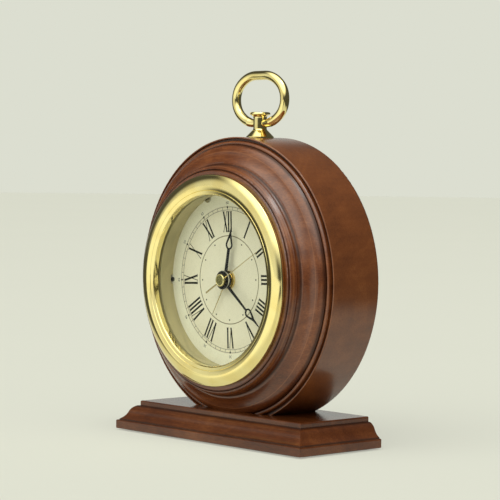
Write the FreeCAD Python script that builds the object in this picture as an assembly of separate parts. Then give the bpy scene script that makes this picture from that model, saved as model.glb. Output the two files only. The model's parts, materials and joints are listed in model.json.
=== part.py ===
import FreeCAD, Part
import math
import os

# Round wooden table alarm clock on a moulded plinth, with a brass bow handle.
# Millimetres, +Z up, the dial faces -Y. The origin is under the middle of the base.
# Everything round that belongs to the dial turns about one line along Y: x = 0, z = AXIS_Z.

V = FreeCAD.Vector

# ---- stand -----------------------------------------------------------------------------------
FELT_T = 0.8                # thickness of the felt sheet under the plinth
FELT_INSET = 3.0
BASE_W = 142.0              # plinth at its foot
BASE_D = 56.2
PLINTH_H = 14.95            # wood only, without the felt
MOULD_OUT = 9.2             # how far the plinth moulding spreads beyond the top face
SLAB_H = 4.6                # straight edge at the foot of the plinth
PLINTH_TOP = FELT_T + PLINTH_H
PLINTH_SCREW_X = (-16.0, 16.0)
SCREW_R = 2.0               # the two wood screws from the plinth into the drum
SCREW_HEAD_R = 4.0
SCREW_HEAD_T = 3.0
SCREW_SINK = 0.4            # how far the heads lie below the wood
SCREW_POINT_L = 4.0
SCREW_TIP_Z = 29.0

# ---- drum ------------------------------------------------------------------------------------
DRUM_R = 73.0
AXIS_Z = 82.7
DRUM_FRONT = -8.3
DRUM_BACK = 23.4
BORE_R = 49.2               # through hole for the clock insert
HANDLE_Y = 8.5              # the handle stands over the middle of the drum

# ---- clock insert ----------------------------------------------------------------------------
MOULD_FRONT = -22.9         # flat front of the wooden moulding, which the bezel rests on
BEZEL_R = 53.8
BEZEL_LINE_R = 45.7         # fine turned line between the convex face and the lip
SIGHT_R = 43.4              # clear opening in the bezel
LENS_FRONT = -22.8
LENS_BACK = -21.0
SIGHT_GAP = 0.05            # between the glass and the ring behind it
SIGHT_FOOT_R = 44.4         # opening of that ring at the dial
DIAL_FRONT = -11.9
DIAL_BACK = -11.4
DIAL_R = 46.2
CAN_R = 47.8
CAN_WALL = 1.4
CAN_BACK = 4.0
SKIRT_GAP = 0.05            # the can slides into the bezel's skirt
DIAL_SCREW_R = 44.2         # radius of the circle that the dial screws and pegs stand on
DIAL_SCREW_ANGLES = (-22.0, 158.0)
DIAL_PEG_ANGLES = (-92.2, 87.8)
DIAL_SCREW_SHANK_R = 0.9
DIAL_PEG_R = 1.1
CAN_FLOOR_BACK = -9.4       # back of the ledge that the dial is screwed to

# ---- movement --------------------------------------------------------------------------------
MOVE_W = 56.0               # the movement is square
MOVE_WALL = 1.4
MOVE_FRONT = DIAL_BACK
MOVE_SPLIT = -2.4           # joint between front and rear housings
MOVE_BACK = 6.6
PLATE_FRONT = -5.2          # middle plate, which holds the pivots
PLATE_BACK = -4.2
BAY_TOP = -12.0             # battery bay, heights from the dial's centre
BAY_FLOOR = -10.0           # y of the bay's floor
BATTERY_R = 7.1
BATTERY_L = 49.2
BATTERY_W = -19.4           # height of the battery's axis from the dial's centre
BATTERY_Y = -1.9
BATTERY_SHIFT = 0.4         # the cell lies this much towards its flat end
BATTERY_EDGE = 0.5
NUB_R = 2.7
NUB_L = 1.1
BAY_WALL = -10.8            # height of the partition's upper face
INNER = MOVE_W / 2 - MOVE_WALL
SWITCH = (-19.5, 14.0)      # middle of the alarm switch's slot, (u, w)
SWITCH_TRAVEL = 4.0
BUZZER = (19.0, 13.0)
BUZZER_R = 6.8
SOUND_HOLE_R = 0.9
SOUND_RING_R = 3.6          # six sound holes stand on this circle round a seventh

# ---- train: tooth counts and modules ---------------------------------------------------------
ROTOR_T = 6
IDLER_WHEEL_T = 36
IDLER_PINION_T = 8
SECONDS_WHEEL_T = 40
SECONDS_PINION_T = 8
THIRD_WHEEL_T = 60
THIRD_PINION_T = 8
CENTRE_WHEEL_T = 64
CANNON_T = 12
MINUTE_WHEEL_T = 36
MINUTE_PINION_T = 10
HOUR_WHEEL_T = 40
ALARM_WHEEL_T = 60
KNOB_PINION_T = 12
M_FAST = 0.25               # rotor, idler wheel, cannon pinion, minute wheel, alarm wheel
M_CENTRE = 0.20
M_IDLER = 0.30              # idler pinion and seconds wheel
WHEEL_TOOTH = 0.40          # tooth thickness as a share of the pitch
PINION_TOOTH = 0.34
THIRD_DISTANCE = (THIRD_PINION_T + CENTRE_WHEEL_T) / 2 * M_CENTRE
M_THIRD = 2 * THIRD_DISTANCE / (SECONDS_PINION_T + THIRD_WHEEL_T)
MINUTE_DISTANCE = (CANNON_T + MINUTE_WHEEL_T) / 2 * M_FAST
M_HOUR = 2 * MINUTE_DISTANCE / (MINUTE_PINION_T + HOUR_WHEEL_T)
IDLER_DISTANCE = (IDLER_PINION_T + SECONDS_WHEEL_T) / 2 * M_IDLER
ROTOR_DISTANCE = (ROTOR_T + IDLER_WHEEL_T) / 2 * M_FAST
ALARM_DISTANCE = (ALARM_WHEEL_T + KNOB_PINION_T) / 2 * M_FAST
KNOB_DISTANCE = (MINUTE_WHEEL_T + KNOB_PINION_T) / 2 * M_FAST

THIRD_ANGLE = 180.0         # directions from one axis to the next, degrees up from +X
IDLER_ANGLE = 90.0
ROTOR_ANGLE = 70.0
MINUTE_ANGLE = -20.0
TIME_KNOB_ANGLE = 10.0
ALARM_KNOB_ANGLE = -120.0

# ---- arbor and tube radii on the centre line -------------------------------------------------
ARBOR_R = 0.40
TUBE_GAP = 0.06             # running clearance between one tube and the next
CANNON_R = 1.00
HOUR_TUBE_R = 1.70
ALARM_TUBE_R = 2.40
BUSH_R = 4.00
BUSH_NECK_R = 3.40
PIVOT_R = 0.35
PIVOT_HOLE_R = 0.40
SHAFT_R = 0.80              # knob shafts
SHAFT_HOLE_R = 0.86
PIVOT_REACH = 0.8           # how far a pivot goes into its bearing
PIVOT_ENDS = (PLATE_BACK - PIVOT_REACH, MOVE_BACK - PIVOT_REACH)
BEARING_SKIN = 0.6          # plastic left outside the blind bearings in the rear housing
STUD_R = 0.50               # stud that the minute wheel turns on

# ---- hands: tip lengths and the y of each blade ----------------------------------------------
HAND_T = 0.35
LOOP_LINE = 0.82            # width of the line round a hand's open loop
PEAR_SHOULDER = math.radians(20.0)          # where the loop's straight sides leave the circle
TIP_FOOT_HALF = 0.60        # half width at the foot of an open hand's tip
NEEDLE_T = 0.2              # thickness of the two gold hands
ALARM_HAND_Y = -13.75
HOUR_HAND_Y = -14.75
MINUTE_HAND_Y = -16.05
SECONDS_HAND_Y = -16.85
ALARM_HAND_L = 20.6
HOUR_HAND_L = 28.5
MINUTE_HAND_L = 35.8
SECONDS_HAND_L = 30.5
SECONDS_TAIL_L = 14.0
ALARM_TIME_ANGLE = 210.0    # directions of the hands at rest, clockwise from 12
HOUR_ANGLE = 9.2
MINUTE_HAND_ANGLE = 129.0
SECONDS_ANGLE = 59.6
CAP_FRONT = -18.4

# ---- bow handle and post ---------------------------------------------------------------------
BOW_Z = 162.9               # hinge line of the bow
BOW_WIRE_R = 2.4
BOW_BAR_R = 1.9             # thinner where it passes through the post
BOW_STRAIGHT = 3.4          # half length of the straight stretches
BOW_END_W = 15.0            # each end: this far beyond the straight stretch
BOW_HALF_H = 12.35
BOW_FLAT_R = 17.0           # large radius of the top and bottom
BOW_TAPER = 16.0            # degrees of arc over which the bar thickens
NECK_R = 3.5
POST_BASE_R = 7.2
POST_CAP_R = 5.25
POST_FOOT_Z = 155.2
POST_TOP_Z = 168.9
HANGER_R = 2.0              # stud that holds the post down
HANGER_BOTTOM_Z = 141.0
HANGER_TOP_Z = 158.4


# ---- shape helpers ---------------------------------------------------------------------------
def rod(r, y0, y1, u=0.0, w=0.0):
    """A cylinder along Y between y0 and y1; u and w are measured from the dial's centre."""
    return Part.makeCylinder(r, y1 - y0, V(u, y0, AXIS_Z + w), V(0, 1, 0))


def tube(r_out, r_in, y0, y1, u=0.0, w=0.0):
    return rod(r_out, y0, y1, u, w).cut(rod(r_in, y0 - 1, y1 + 1, u, w))


def block(u0, u1, y0, y1, w0, w1):
    """A box, with heights measured from the dial's centre."""
    return Part.makeBox(u1 - u0, y1 - y0, w1 - w0, V(u0, y0, AXIS_Z + w0))


def fuse(shapes):
    """One solid from touching or overlapping ones."""
    return shapes[0].multiFuse(shapes[1:]).removeSplitter()


def polar(r, degrees):
    """Offsets (u, w) for an angle up from +X."""
    a = math.radians(degrees)
    return r * math.cos(a), r * math.sin(a)


def clock(r, degrees):
    """Offsets (u, w) for an angle clockwise from 12 o'clock."""
    return polar(r, 90.0 - degrees)


def outline(steps, place):
    """A closed wire. Each step is a point, or (middle, end) for an arc; place makes vectors."""
    at = place(steps[0])
    first = at
    edges = []
    for step in steps[1:]:
        if isinstance(step[0], tuple):
            middle, end = place(step[0]), place(step[1])
            edges.append(Part.Arc(at, middle, end).toShape())
        else:
            end = place(step)
            edges.append(Part.makeLine(at, end))
        at = end
    if at.distanceToPoint(first) > 1e-6:
        edges.append(Part.makeLine(at, first))
    return Part.Wire(edges)


def turned(steps):
    """A solid turned about the dial's axis, from an outline of (y, r) steps."""
    face = Part.Face(outline(steps, lambda p: V(p[1], p[0], AXIS_Z)))
    return face.revolve(V(0, 0, AXIS_Z), V(0, 1, 0), 360)


def turned_upright(steps):
    """A solid turned about the post's upright axis, from an outline of (r, z) steps."""
    face = Part.Face(outline(steps, lambda p: V(p[0], HANDLE_Y, p[1])))
    return face.revolve(V(0, HANDLE_Y, 0), V(0, 0, 1), 360)


def plate(points, y0, y1):
    """A flat plate from (u, w) points."""
    ring = [V(u, y0, AXIS_Z + w) for u, w in points]
    return Part.Face(Part.makePolygon(ring + ring[:1])).extrude(V(0, y1 - y0, 0))


def save(name, shape):
    shape.exportStep("parts/" + name + ".step")


# ---- gears -----------------------------------------------------------------------------------
def gear(teeth, module, y0, y1, centre=(0.0, 0.0), phase=0.0, thickness=WHEEL_TOOTH):
    """A spur gear with tapered teeth; phase is the direction of one tooth, degrees up from +X."""
    pitch_r = teeth * module / 2
    pitch = 2 * math.pi / teeth
    half = thickness * pitch / 2
    section = (
        (pitch_r - 1.0 * module, -1.25 * half),
        (pitch_r - 0.15 * module, -1.05 * half),
        (pitch_r + 0.45 * module, -0.72 * half),
        (pitch_r + 0.80 * module, -0.30 * half),
    )
    rim = section + tuple((r, -a) for r, a in reversed(section))
    points = []
    for k in range(teeth):
        turn = math.radians(phase) + k * pitch
        points += [(centre[0] + r * math.cos(turn + a), centre[1] + r * math.sin(turn + a))
                   for r, a in rim]
    return plate(points, y0, y1)


def mesh_phase(teeth, phase, other_teeth, direction):
    """Phase of a gear that meshes with one of known phase, lying in the given direction from it."""
    index = teeth * (direction - phase) / 360.0
    return direction + 180.0 - 360.0 * (0.5 - index) / other_teeth


def offset(origin, distance, degrees):
    u, w = polar(distance, degrees)
    return origin[0] + u, origin[1] + w


CENTRE = (0.0, 0.0)
THIRD = offset(CENTRE, THIRD_DISTANCE, THIRD_ANGLE)
IDLER = offset(CENTRE, IDLER_DISTANCE, IDLER_ANGLE)
ROTOR = offset(IDLER, ROTOR_DISTANCE, ROTOR_ANGLE)
MINUTE = offset(CENTRE, MINUTE_DISTANCE, MINUTE_ANGLE)
TIME_KNOB = offset(MINUTE, KNOB_DISTANCE, TIME_KNOB_ANGLE)
ALARM_KNOB = offset(CENTRE, ALARM_DISTANCE, ALARM_KNOB_ANGLE)

# planes of the wheels, (front, back)
ALARM_PLANE = (-9.8, -9.0)
HOUR_PLANE = (-8.4, -7.6)
MINUTE_PLANE = (-7.0, -6.2)
CENTRE_PLANE = (-3.9, -3.3)
THIRD_PLANE = (-2.6, -2.0)
SECONDS_PLANE = (-1.5, -0.9)
IDLER_PLANE = (0.0, 0.6)
MAGNET_PLANE = (1.2, 2.6)
STATOR_PLANE = (1.3, 2.1)
PINION_LAP = 0.1            # a pinion is this much longer than the wheel it drives, each side


def lapped(plane):
    return plane[0] - PINION_LAP, plane[1] + PINION_LAP


# ---- wooden case -----------------------------------------------------------------------------
def plinth_section():
    """Edge moulding as (out, z): out is measured from the edge of the top face."""
    foot = MOULD_OUT
    return [
        (foot - 0.5, 0.0), ((foot - 0.15, 0.15), (foot, 0.5)), (foot, SLAB_H - 0.7),
        ((foot - 0.2, SLAB_H - 0.2), (foot - 0.7, SLAB_H)), (foot - 1.3, SLAB_H + 0.1),
        (foot - 1.3, SLAB_H + 0.5),
        ((5.9, 6.7), (4.5, 9.0)), ((3.2, 11.0), (1.2, 12.3)), (0.0, 12.35),
        (0.0, PLINTH_H - 0.7), ((-0.2, PLINTH_H - 0.2), (-0.7, PLINTH_H)),
    ]


def plinth():
    """Moulded on the front and both ends, straight at the back, with mitred corners."""
    top_w = BASE_W / 2 - MOULD_OUT
    top_front = -BASE_D / 2 + MOULD_OUT
    section = plinth_section()

    def flip(step, sign, shift):
        if isinstance(step[0], tuple):
            return flip(step[0], sign, shift), flip(step[1], sign, shift)
        return sign * (step[0] + shift), step[1] + FELT_T

    def backwards(steps):
        """The same path walked from its end to its start."""
        points = [s[1] if isinstance(s[0], tuple) else s for s in steps]
        back = [points[-1]]
        for k in range(len(steps) - 1, 0, -1):
            arc = isinstance(steps[k][0], tuple)
            back.append((steps[k][0], points[k - 1]) if arc else points[k - 1])
        return back

    right = [flip(s, 1, top_w) for s in section]
    left = backwards([flip(s, -1, top_w) for s in section])
    ends = outline(right + left, lambda p: V(p[0], -BASE_D / 2 - 1, p[1]))
    across = Part.Face(ends).extrude(V(0, BASE_D + 2, 0))
    front = backwards([flip(s, -1, -top_front) for s in section])
    back = [(BASE_D / 2, FELT_T), (BASE_D / 2, PLINTH_TOP)]
    side = outline(back + front, lambda p: V(-BASE_W / 2 - 1, p[0], p[1]))
    along = Part.Face(side).extrude(V(BASE_W + 2, 0, 0))
    wood = across.common(along)
    for u in PLINTH_SCREW_X:
        wood = wood.cut(upright(SCREW_R, FELT_T - 1, PLINTH_TOP + 1, u))
        wood = wood.cut(upright(SCREW_HEAD_R + 0.2, FELT_T - 1, FELT_T + SCREW_SINK + SCREW_HEAD_T, u))
    return wood


def upright(r, z0, z1, x, y=HANDLE_Y):
    return Part.makeCylinder(r, z1 - z0, V(x, y, z0), V(0, 0, 1))


def base_felt():
    d = BASE_D - 2 * FELT_INSET
    w = BASE_W - 2 * FELT_INSET
    sheet = Part.makeBox(w, d, FELT_T, V(-w / 2, -d / 2, 0))
    corners = [e for e in sheet.Edges if abs(e.tangentAt(e.FirstParameter).z) > 0.9]
    return sheet.makeFillet(3.0, corners)


def plinth_screws():
    """Two countersunk wood screws, driven up through the plinth into the drum."""
    screws = []
    for x in PLINTH_SCREW_X:
        z0 = FELT_T + SCREW_SINK
        z1 = SCREW_TIP_Z - SCREW_POINT_L
        head = Part.makeCone(SCREW_HEAD_R, SCREW_R, SCREW_HEAD_T, V(x, HANDLE_Y, z0), V(0, 0, 1))
        shank = upright(SCREW_R, z0, z1, x)
        tip = Part.makeCone(SCREW_R, 0.3, SCREW_POINT_L, V(x, HANDLE_Y, z1), V(0, 0, 1))
        slot_a = Part.makeBox(5.0, 1.0, 1.2, V(x - 2.5, HANDLE_Y - 0.5, z0))
        slot_b = Part.makeBox(1.0, 5.0, 1.2, V(x - 0.5, HANDLE_Y - 2.5, z0))
        screws.append(fuse([head, shank, tip]).cut(slot_a).cut(slot_b))
    return Part.makeCompound(screws)


def below_plinth_top():
    return Part.makeBox(200, 100, PLINTH_TOP, V(-100, -50, 0))


def case_drum():
    """The turned drum: a quirk round its front face, a straight bore, a flat where it stands."""
    wood = turned([
        (DRUM_FRONT, BORE_R), (DRUM_FRONT, 70.9), (DRUM_FRONT + 1.3, 71.2),
        (DRUM_FRONT + 1.3, 71.9), (DRUM_FRONT, 72.4), (DRUM_FRONT, 72.7),
        ((DRUM_FRONT + 0.1, 72.9), (DRUM_FRONT + 0.3, DRUM_R)),
        (DRUM_BACK - 1.5, DRUM_R), ((DRUM_BACK - 0.44, DRUM_R - 0.44), (DRUM_BACK, DRUM_R - 1.5)),
        (DRUM_BACK, BORE_R + 1.0), (DRUM_BACK - 1.0, BORE_R),
    ])
    wood = wood.cut(below_plinth_top())
    wood = wood.cut(upright(POST_BASE_R, POST_FOOT_Z, POST_TOP_Z, 0.0))
    wood = wood.cut(upright(HANGER_R, HANGER_BOTTOM_Z, POST_TOP_Z, 0.0))
    for x in PLINTH_SCREW_X:
        wood = wood.cut(upright(SCREW_R, PLINTH_TOP - 1, SCREW_TIP_Z, x))
    return wood


def front_moulding():
    """Turned ring glued to the drum: bead, ovolo, shallow cove, deep cove, fillet and flat."""
    wood = turned([
        (DRUM_FRONT, BORE_R), (DRUM_FRONT, 70.9),
        ((DRUM_FRONT - 1.1, 70.5), (DRUM_FRONT - 1.3, 69.4)), (DRUM_FRONT - 1.0, 68.8),
        (DRUM_FRONT - 1.7, 69.1),
        ((-12.0, 67.8), (-13.4, 65.5)), ((-14.5, 62.7), (-16.4, 60.4)), (-16.6, 60.1),
        ((-17.1, 58.9), (-19.3, 58.4)), (-19.6, 58.2), (-21.3, 57.5),
        ((-22.0, 57.1), (-22.2, 56.5)), (-21.9, 56.1), (-22.4, 55.9),
        ((-22.75, 55.7), (MOULD_FRONT, 55.3)), (MOULD_FRONT, BORE_R),
    ])
    return wood.cut(below_plinth_top())


# ---- bow handle ------------------------------------------------------------------------------
def handle_post():
    """Turned brass post: conical foot, neck with a cross hole for the bow, flared cap."""
    body = turned_upright([
        (0.0, POST_FOOT_Z), (POST_BASE_R, POST_FOOT_Z), (POST_BASE_R, POST_FOOT_Z + 0.9),
        (4.1, 159.2), ((NECK_R + 0.12, 159.8), (NECK_R, 160.5)), (NECK_R, 165.7),
        ((3.85, 166.6), (4.75, 167.2)),
        ((POST_CAP_R, 167.5), (POST_CAP_R, 168.1)), ((4.95, 168.55), (4.3, 168.7)),
        (0.0, POST_TOP_Z),
    ])
    hole = Part.makeCylinder(BOW_BAR_R + 0.06, 12, V(-6, HANDLE_Y, BOW_Z), V(1, 0, 0))
    return body.cut(hole).cut(upright(HANGER_R, POST_FOOT_Z - 1, HANGER_TOP_Z, 0.0))


def hanger_bolt():
    """Stud that holds the post down into the drum."""
    return upright(HANGER_R, HANGER_BOTTOM_Z, HANGER_TOP_Z, 0.0)


def bow_side_radius():
    """Radius of each end's outer arc, tangent to the flat arcs above and below it."""
    a, b, big = BOW_END_W, BOW_HALF_H, BOW_FLAT_R
    return (big ** 2 - a ** 2 - (big - b) ** 2) / (2 * (big - a))


def bow_handle():
    """Oval bow of round wire in a plane parallel to the dial; its bar passes through the post."""
    side_r = bow_side_radius()
    mid_z = BOW_Z + BOW_HALF_H
    side_x = BOW_STRAIGHT + BOW_END_W - side_r
    flat_z = BOW_Z + BOW_FLAT_R
    joint = math.atan2(side_x - BOW_STRAIGHT, flat_z - mid_z)
    taper = math.radians(BOW_TAPER)

    def flat(angle):
        return V(BOW_STRAIGHT + BOW_FLAT_R * math.sin(angle), HANDLE_Y,
                 flat_z - BOW_FLAT_R * math.cos(angle))

    def mirrored(p, x=1, z=1):
        return V(x * p.x, p.y, mid_z + z * (p.z - mid_z))

    low_mid, low_end = flat((taper + joint) / 2), flat(joint)
    tip = V(side_x + side_r, HANDLE_Y, mid_z)
    half = [
        Part.Arc(flat(taper), low_mid, low_end),
        Part.Arc(low_end, tip, mirrored(low_end, z=-1)),
        Part.Arc(mirrored(low_end, z=-1), mirrored(flat(joint / 2), z=-1), mirrored(flat(0), z=-1)),
    ]
    edges = [arc.toShape() for arc in half]
    edges.append(Part.makeLine(mirrored(flat(0), z=-1), mirrored(flat(0), x=-1, z=-1)))
    edges += [arc.toShape().mirror(V(0, HANDLE_Y, 0), V(1, 0, 0)) for arc in reversed(half)]
    path = Part.Wire(Part.sortEdges(edges)[0])
    start = flat(taper)
    along = V(math.cos(taper), 0, math.sin(taper))
    section = Part.Wire(Part.makeCircle(BOW_WIRE_R, start, along))
    wire = path.makePipeShell([section], True, False)
    cone_edge = Part.Arc(flat(0), flat(taper / 2), start).toShape()
    thin = Part.Wire(Part.makeCircle(BOW_BAR_R, flat(0), V(1, 0, 0)))
    pieces = [wire]
    cone = Part.Wire([cone_edge]).makePipeShell([thin, section], True, False)
    pieces.append(cone)
    pieces.append(cone.mirror(V(0, HANDLE_Y, 0), V(1, 0, 0)))
    pieces.append(Part.makeCylinder(BOW_BAR_R, 2 * BOW_STRAIGHT, flat(0), V(-1, 0, 0)))
    return fuse(pieces)


# ---- clock insert ----------------------------------------------------------------------------
def bezel():
    """Polished brass bezel: convex face, fine line inside it, rounded lip, skirt into the bore."""
    return turned([
        (LENS_FRONT - 0.1, SIGHT_R), (-25.2, SIGHT_R + 0.05),
        ((-25.7, SIGHT_R + 0.25), (-25.95, SIGHT_R + 0.7)), (-26.25, BEZEL_LINE_R - 0.15),
        (-26.1, BEZEL_LINE_R), (-26.3, BEZEL_LINE_R + 0.15),
        ((-26.7, 48.9), (-25.0, BEZEL_R - 0.5)),
        ((-24.75, BEZEL_R - 0.12), (-24.2, BEZEL_R)), (-23.5, BEZEL_R),
        ((-23.1, BEZEL_R - 0.15), (MOULD_FRONT, BEZEL_R - 0.6)), (MOULD_FRONT, BORE_R - 0.1),
        (-16.5, BORE_R - 0.1), (-16.5, CAN_R + SKIRT_GAP), (LENS_FRONT - 0.1, CAN_R + SKIRT_GAP),
    ])


def lens():
    """Flat mineral glass with a small ground edge."""
    r = CAN_R - 0.3
    return turned([
        (LENS_FRONT, 0.0), (LENS_FRONT, r - 0.3), (LENS_FRONT + 0.3, r),
        (LENS_BACK - 0.3, r), (LENS_BACK, r - 0.3), (LENS_BACK, 0.0),
    ])


def sight_ring():
    """Dull gold ring between glass and dial, opening out slightly towards the dial."""
    front = LENS_BACK + SIGHT_GAP
    ring = turned([
        (front, SIGHT_R + 0.1), (front, DIAL_R), (DIAL_FRONT, DIAL_R),
        (DIAL_FRONT, SIGHT_FOOT_R), (DIAL_FRONT - 0.6, SIGHT_FOOT_R - 0.1),
    ])
    for angle in DIAL_SCREW_ANGLES + DIAL_PEG_ANGLES:
        u, w = clock(DIAL_SCREW_R, angle)
        ring = ring.cut(rod(2.35, DIAL_FRONT - 1.6, DIAL_FRONT + 1, u, w))
    return ring


def dial():
    """Printed metal dial with a centre hole, two screw holes and two peg holes."""
    disc = tube(DIAL_R, BUSH_R + 0.1, DIAL_FRONT, DIAL_BACK)
    for angle in DIAL_SCREW_ANGLES:
        u, w = clock(DIAL_SCREW_R, angle)
        disc = disc.cut(rod(DIAL_SCREW_SHANK_R, DIAL_FRONT - 1, DIAL_BACK + 1, u, w))
    for angle in DIAL_PEG_ANGLES:
        u, w = clock(DIAL_SCREW_R, angle)
        disc = disc.cut(rod(DIAL_PEG_R, DIAL_FRONT - 1, DIAL_BACK + 1, u, w))
    return disc


def insert_can():
    """Black plastic can: holds the dial on an inner ledge and grips the bore."""
    inner = CAN_R - CAN_WALL
    can = turned([
        (LENS_BACK, inner), (LENS_BACK, CAN_R), (CAN_BACK - 1.5, CAN_R),
        (CAN_BACK - 1.5, CAN_R + 1.1), (CAN_BACK, CAN_R + 1.1), (CAN_BACK, inner),
        (CAN_FLOOR_BACK, inner), (CAN_FLOOR_BACK, 41.2), (DIAL_BACK, 41.2), (DIAL_BACK, inner),
    ])
    for angle in DIAL_SCREW_ANGLES:
        u, w = clock(DIAL_SCREW_R, angle)
        can = can.cut(rod(DIAL_SCREW_SHANK_R, DIAL_BACK - 1, CAN_FLOOR_BACK + 1, u, w))
    for angle in DIAL_PEG_ANGLES:
        u, w = clock(DIAL_SCREW_R, angle)
        can = can.cut(rod(DIAL_PEG_R, DIAL_BACK - 1, CAN_FLOOR_BACK + 1, u, w))
    return can


def fit_ring():
    """Ribbed rubber ring that wedges the can in the bore."""
    steps = [(-14.0, CAN_R), (0.0, CAN_R), (0.0, CAN_R + 0.6)]
    for k in range(5):
        y = -0.8 - 2.6 * k
        steps += [(y, BORE_R - 0.02), (y - 0.6, BORE_R - 0.02), (y - 1.6, CAN_R + 0.6)]
    steps.append((-14.0, CAN_R + 0.6))
    return turned(steps)


def dial_screws():
    """Two slotted pan-head screws through the dial into the can's ledge."""
    screws = []
    for angle in DIAL_SCREW_ANGLES:
        u, w = clock(DIAL_SCREW_R, angle)
        head = rod(1.95, DIAL_FRONT - 0.8, DIAL_FRONT, u, w)
        slot = block(u - 2.2, u + 2.2, DIAL_FRONT - 0.9, DIAL_FRONT - 0.4, w - 0.25, w + 0.25)
        shank = rod(DIAL_SCREW_SHANK_R, DIAL_FRONT, CAN_FLOOR_BACK, u, w)
        screws.append(fuse([head, shank]).cut(slot))
    return Part.makeCompound(screws)


def dial_pegs():
    """Two plain pegs that locate the dial."""
    pegs = [rod(DIAL_PEG_R, DIAL_FRONT - 0.7, CAN_FLOOR_BACK, *clock(DIAL_SCREW_R, angle))
            for angle in DIAL_PEG_ANGLES]
    return Part.makeCompound(pegs)


# ---- movement housing ------------------------------------------------------------------------
def rounded_block(y0, y1):
    half = MOVE_W / 2
    body = block(-half, half, y0, y1, -half, half)
    corners = [e for e in body.Edges if abs(e.tangentAt(e.FirstParameter).y) > 0.9]
    return body.makeFillet(3.0, corners)


def movement_front():
    """Front housing: a tray with the hole for the centre bush and the battery bay's floor."""
    shell = rounded_block(MOVE_FRONT, MOVE_SPLIT)
    works = block(-INNER, INNER, MOVE_FRONT + MOVE_WALL, MOVE_SPLIT + 1, BAY_WALL, INNER)
    bay = block(-INNER, INNER, BAY_FLOOR, MOVE_SPLIT + 1, -INNER, BAY_TOP)
    shell = shell.cut(works).cut(bay)
    return shell.cut(rod(BUSH_NECK_R, MOVE_FRONT - 1, MOVE_FRONT + 3))


def movement_rear():
    """Rear housing: knob bearings, switch slot, sound holes and the open battery bay."""
    shell = rounded_block(MOVE_SPLIT, MOVE_BACK)
    works = block(-INNER, INNER, MOVE_SPLIT - 1, MOVE_BACK - MOVE_WALL, BAY_WALL, INNER)
    bay = block(-INNER, INNER, MOVE_SPLIT - 1, MOVE_BACK + 1, -INNER, BAY_TOP)
    shell = shell.cut(works).cut(bay)
    for axis in (TIME_KNOB, ALARM_KNOB):
        shell = shell.cut(rod(SHAFT_HOLE_R, MOVE_BACK - 3, MOVE_BACK + 1, *axis))
    u, w = SWITCH
    half_w = STEM_W / 2 + 0.1
    half_h = SWITCH_TRAVEL / 2 + STEM_H / 2 + 0.1
    slot = block(u - half_w, u + half_w, MOVE_BACK - 3, MOVE_BACK + 1, w - half_h, w + half_h)
    shell = shell.cut(slot)
    for k in range(7):
        hole_u, hole_w = offset(BUZZER, SOUND_RING_R if k else 0.0, 60.0 * k)
        shell = shell.cut(rod(SOUND_HOLE_R, MOVE_BACK - 3, MOVE_BACK + 1, hole_u, hole_w))
    for axis in (CENTRE, THIRD, IDLER, ROTOR):
        shell = shell.cut(rod(PIVOT_HOLE_R, MOVE_BACK - 3, MOVE_BACK - BEARING_SKIN, *axis))
    return shell


def middle_plate():
    """Plate between the two sides of the works, with bearings and the minute wheel's stud."""
    w0 = BAY_WALL + 0.1
    board = block(-INNER + 0.1, INNER - 0.1, PLATE_FRONT, PLATE_BACK, w0, INNER - 0.1)
    board = board.cut(rod(CANNON_R + TUBE_GAP, PLATE_FRONT - 1, PLATE_BACK + 1))
    for axis in (THIRD, IDLER, ROTOR):
        board = board.cut(rod(PIVOT_HOLE_R, PLATE_FRONT - 1, PLATE_BACK + 1, *axis))
    for axis in (TIME_KNOB, ALARM_KNOB):
        board = board.cut(rod(SHAFT_HOLE_R, PLATE_FRONT - 1, PLATE_BACK + 1, *axis))
    stud = rod(STUD_R, HOUR_PLANE[0] - 0.3, PLATE_FRONT, *MINUTE)
    return fuse([board, stud])


def centre_bush():
    """Brass bush: a neck pressed into the front housing and a nose that passes the dial."""
    neck = rod(BUSH_NECK_R, MOVE_FRONT, MOVE_FRONT + MOVE_WALL)
    nose = rod(BUSH_R, -13.3, MOVE_FRONT)
    bore = rod(ALARM_TUBE_R + TUBE_GAP, -15, MOVE_FRONT + 3)
    return fuse([neck, nose]).cut(bore)


def bush_nut():
    """Round brass nut with two key flats, which clamps the dial to the movement."""
    ring = tube(4.9, BUSH_R, DIAL_FRONT - 1.2, DIAL_FRONT)
    front = ring.cut(block(-6, 6, -14, -11, 4.6, 6)).cut(block(-6, 6, -14, -11, -6, -4.6))
    return front


# ---- motor and train -------------------------------------------------------------------------
def rotor():
    """Round magnet and its pinion on one arbor."""
    magnet = rod(MAGNET_R, *MAGNET_PLANE, *ROTOR)
    arbor = rod(PIVOT_R, *PIVOT_ENDS, *ROTOR)
    pinion = gear(ROTOR_T, M_FAST, *lapped(IDLER_PLANE), ROTOR, ROTOR_PHASE, PINION_TOOTH)
    return fuse([arbor, magnet, pinion])


def wheel_with_pinion(centre, wheel, pinion, arbor_r, y_ends):
    arbor = rod(arbor_r, *y_ends, *centre)
    return fuse([arbor, wheel, pinion])


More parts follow.
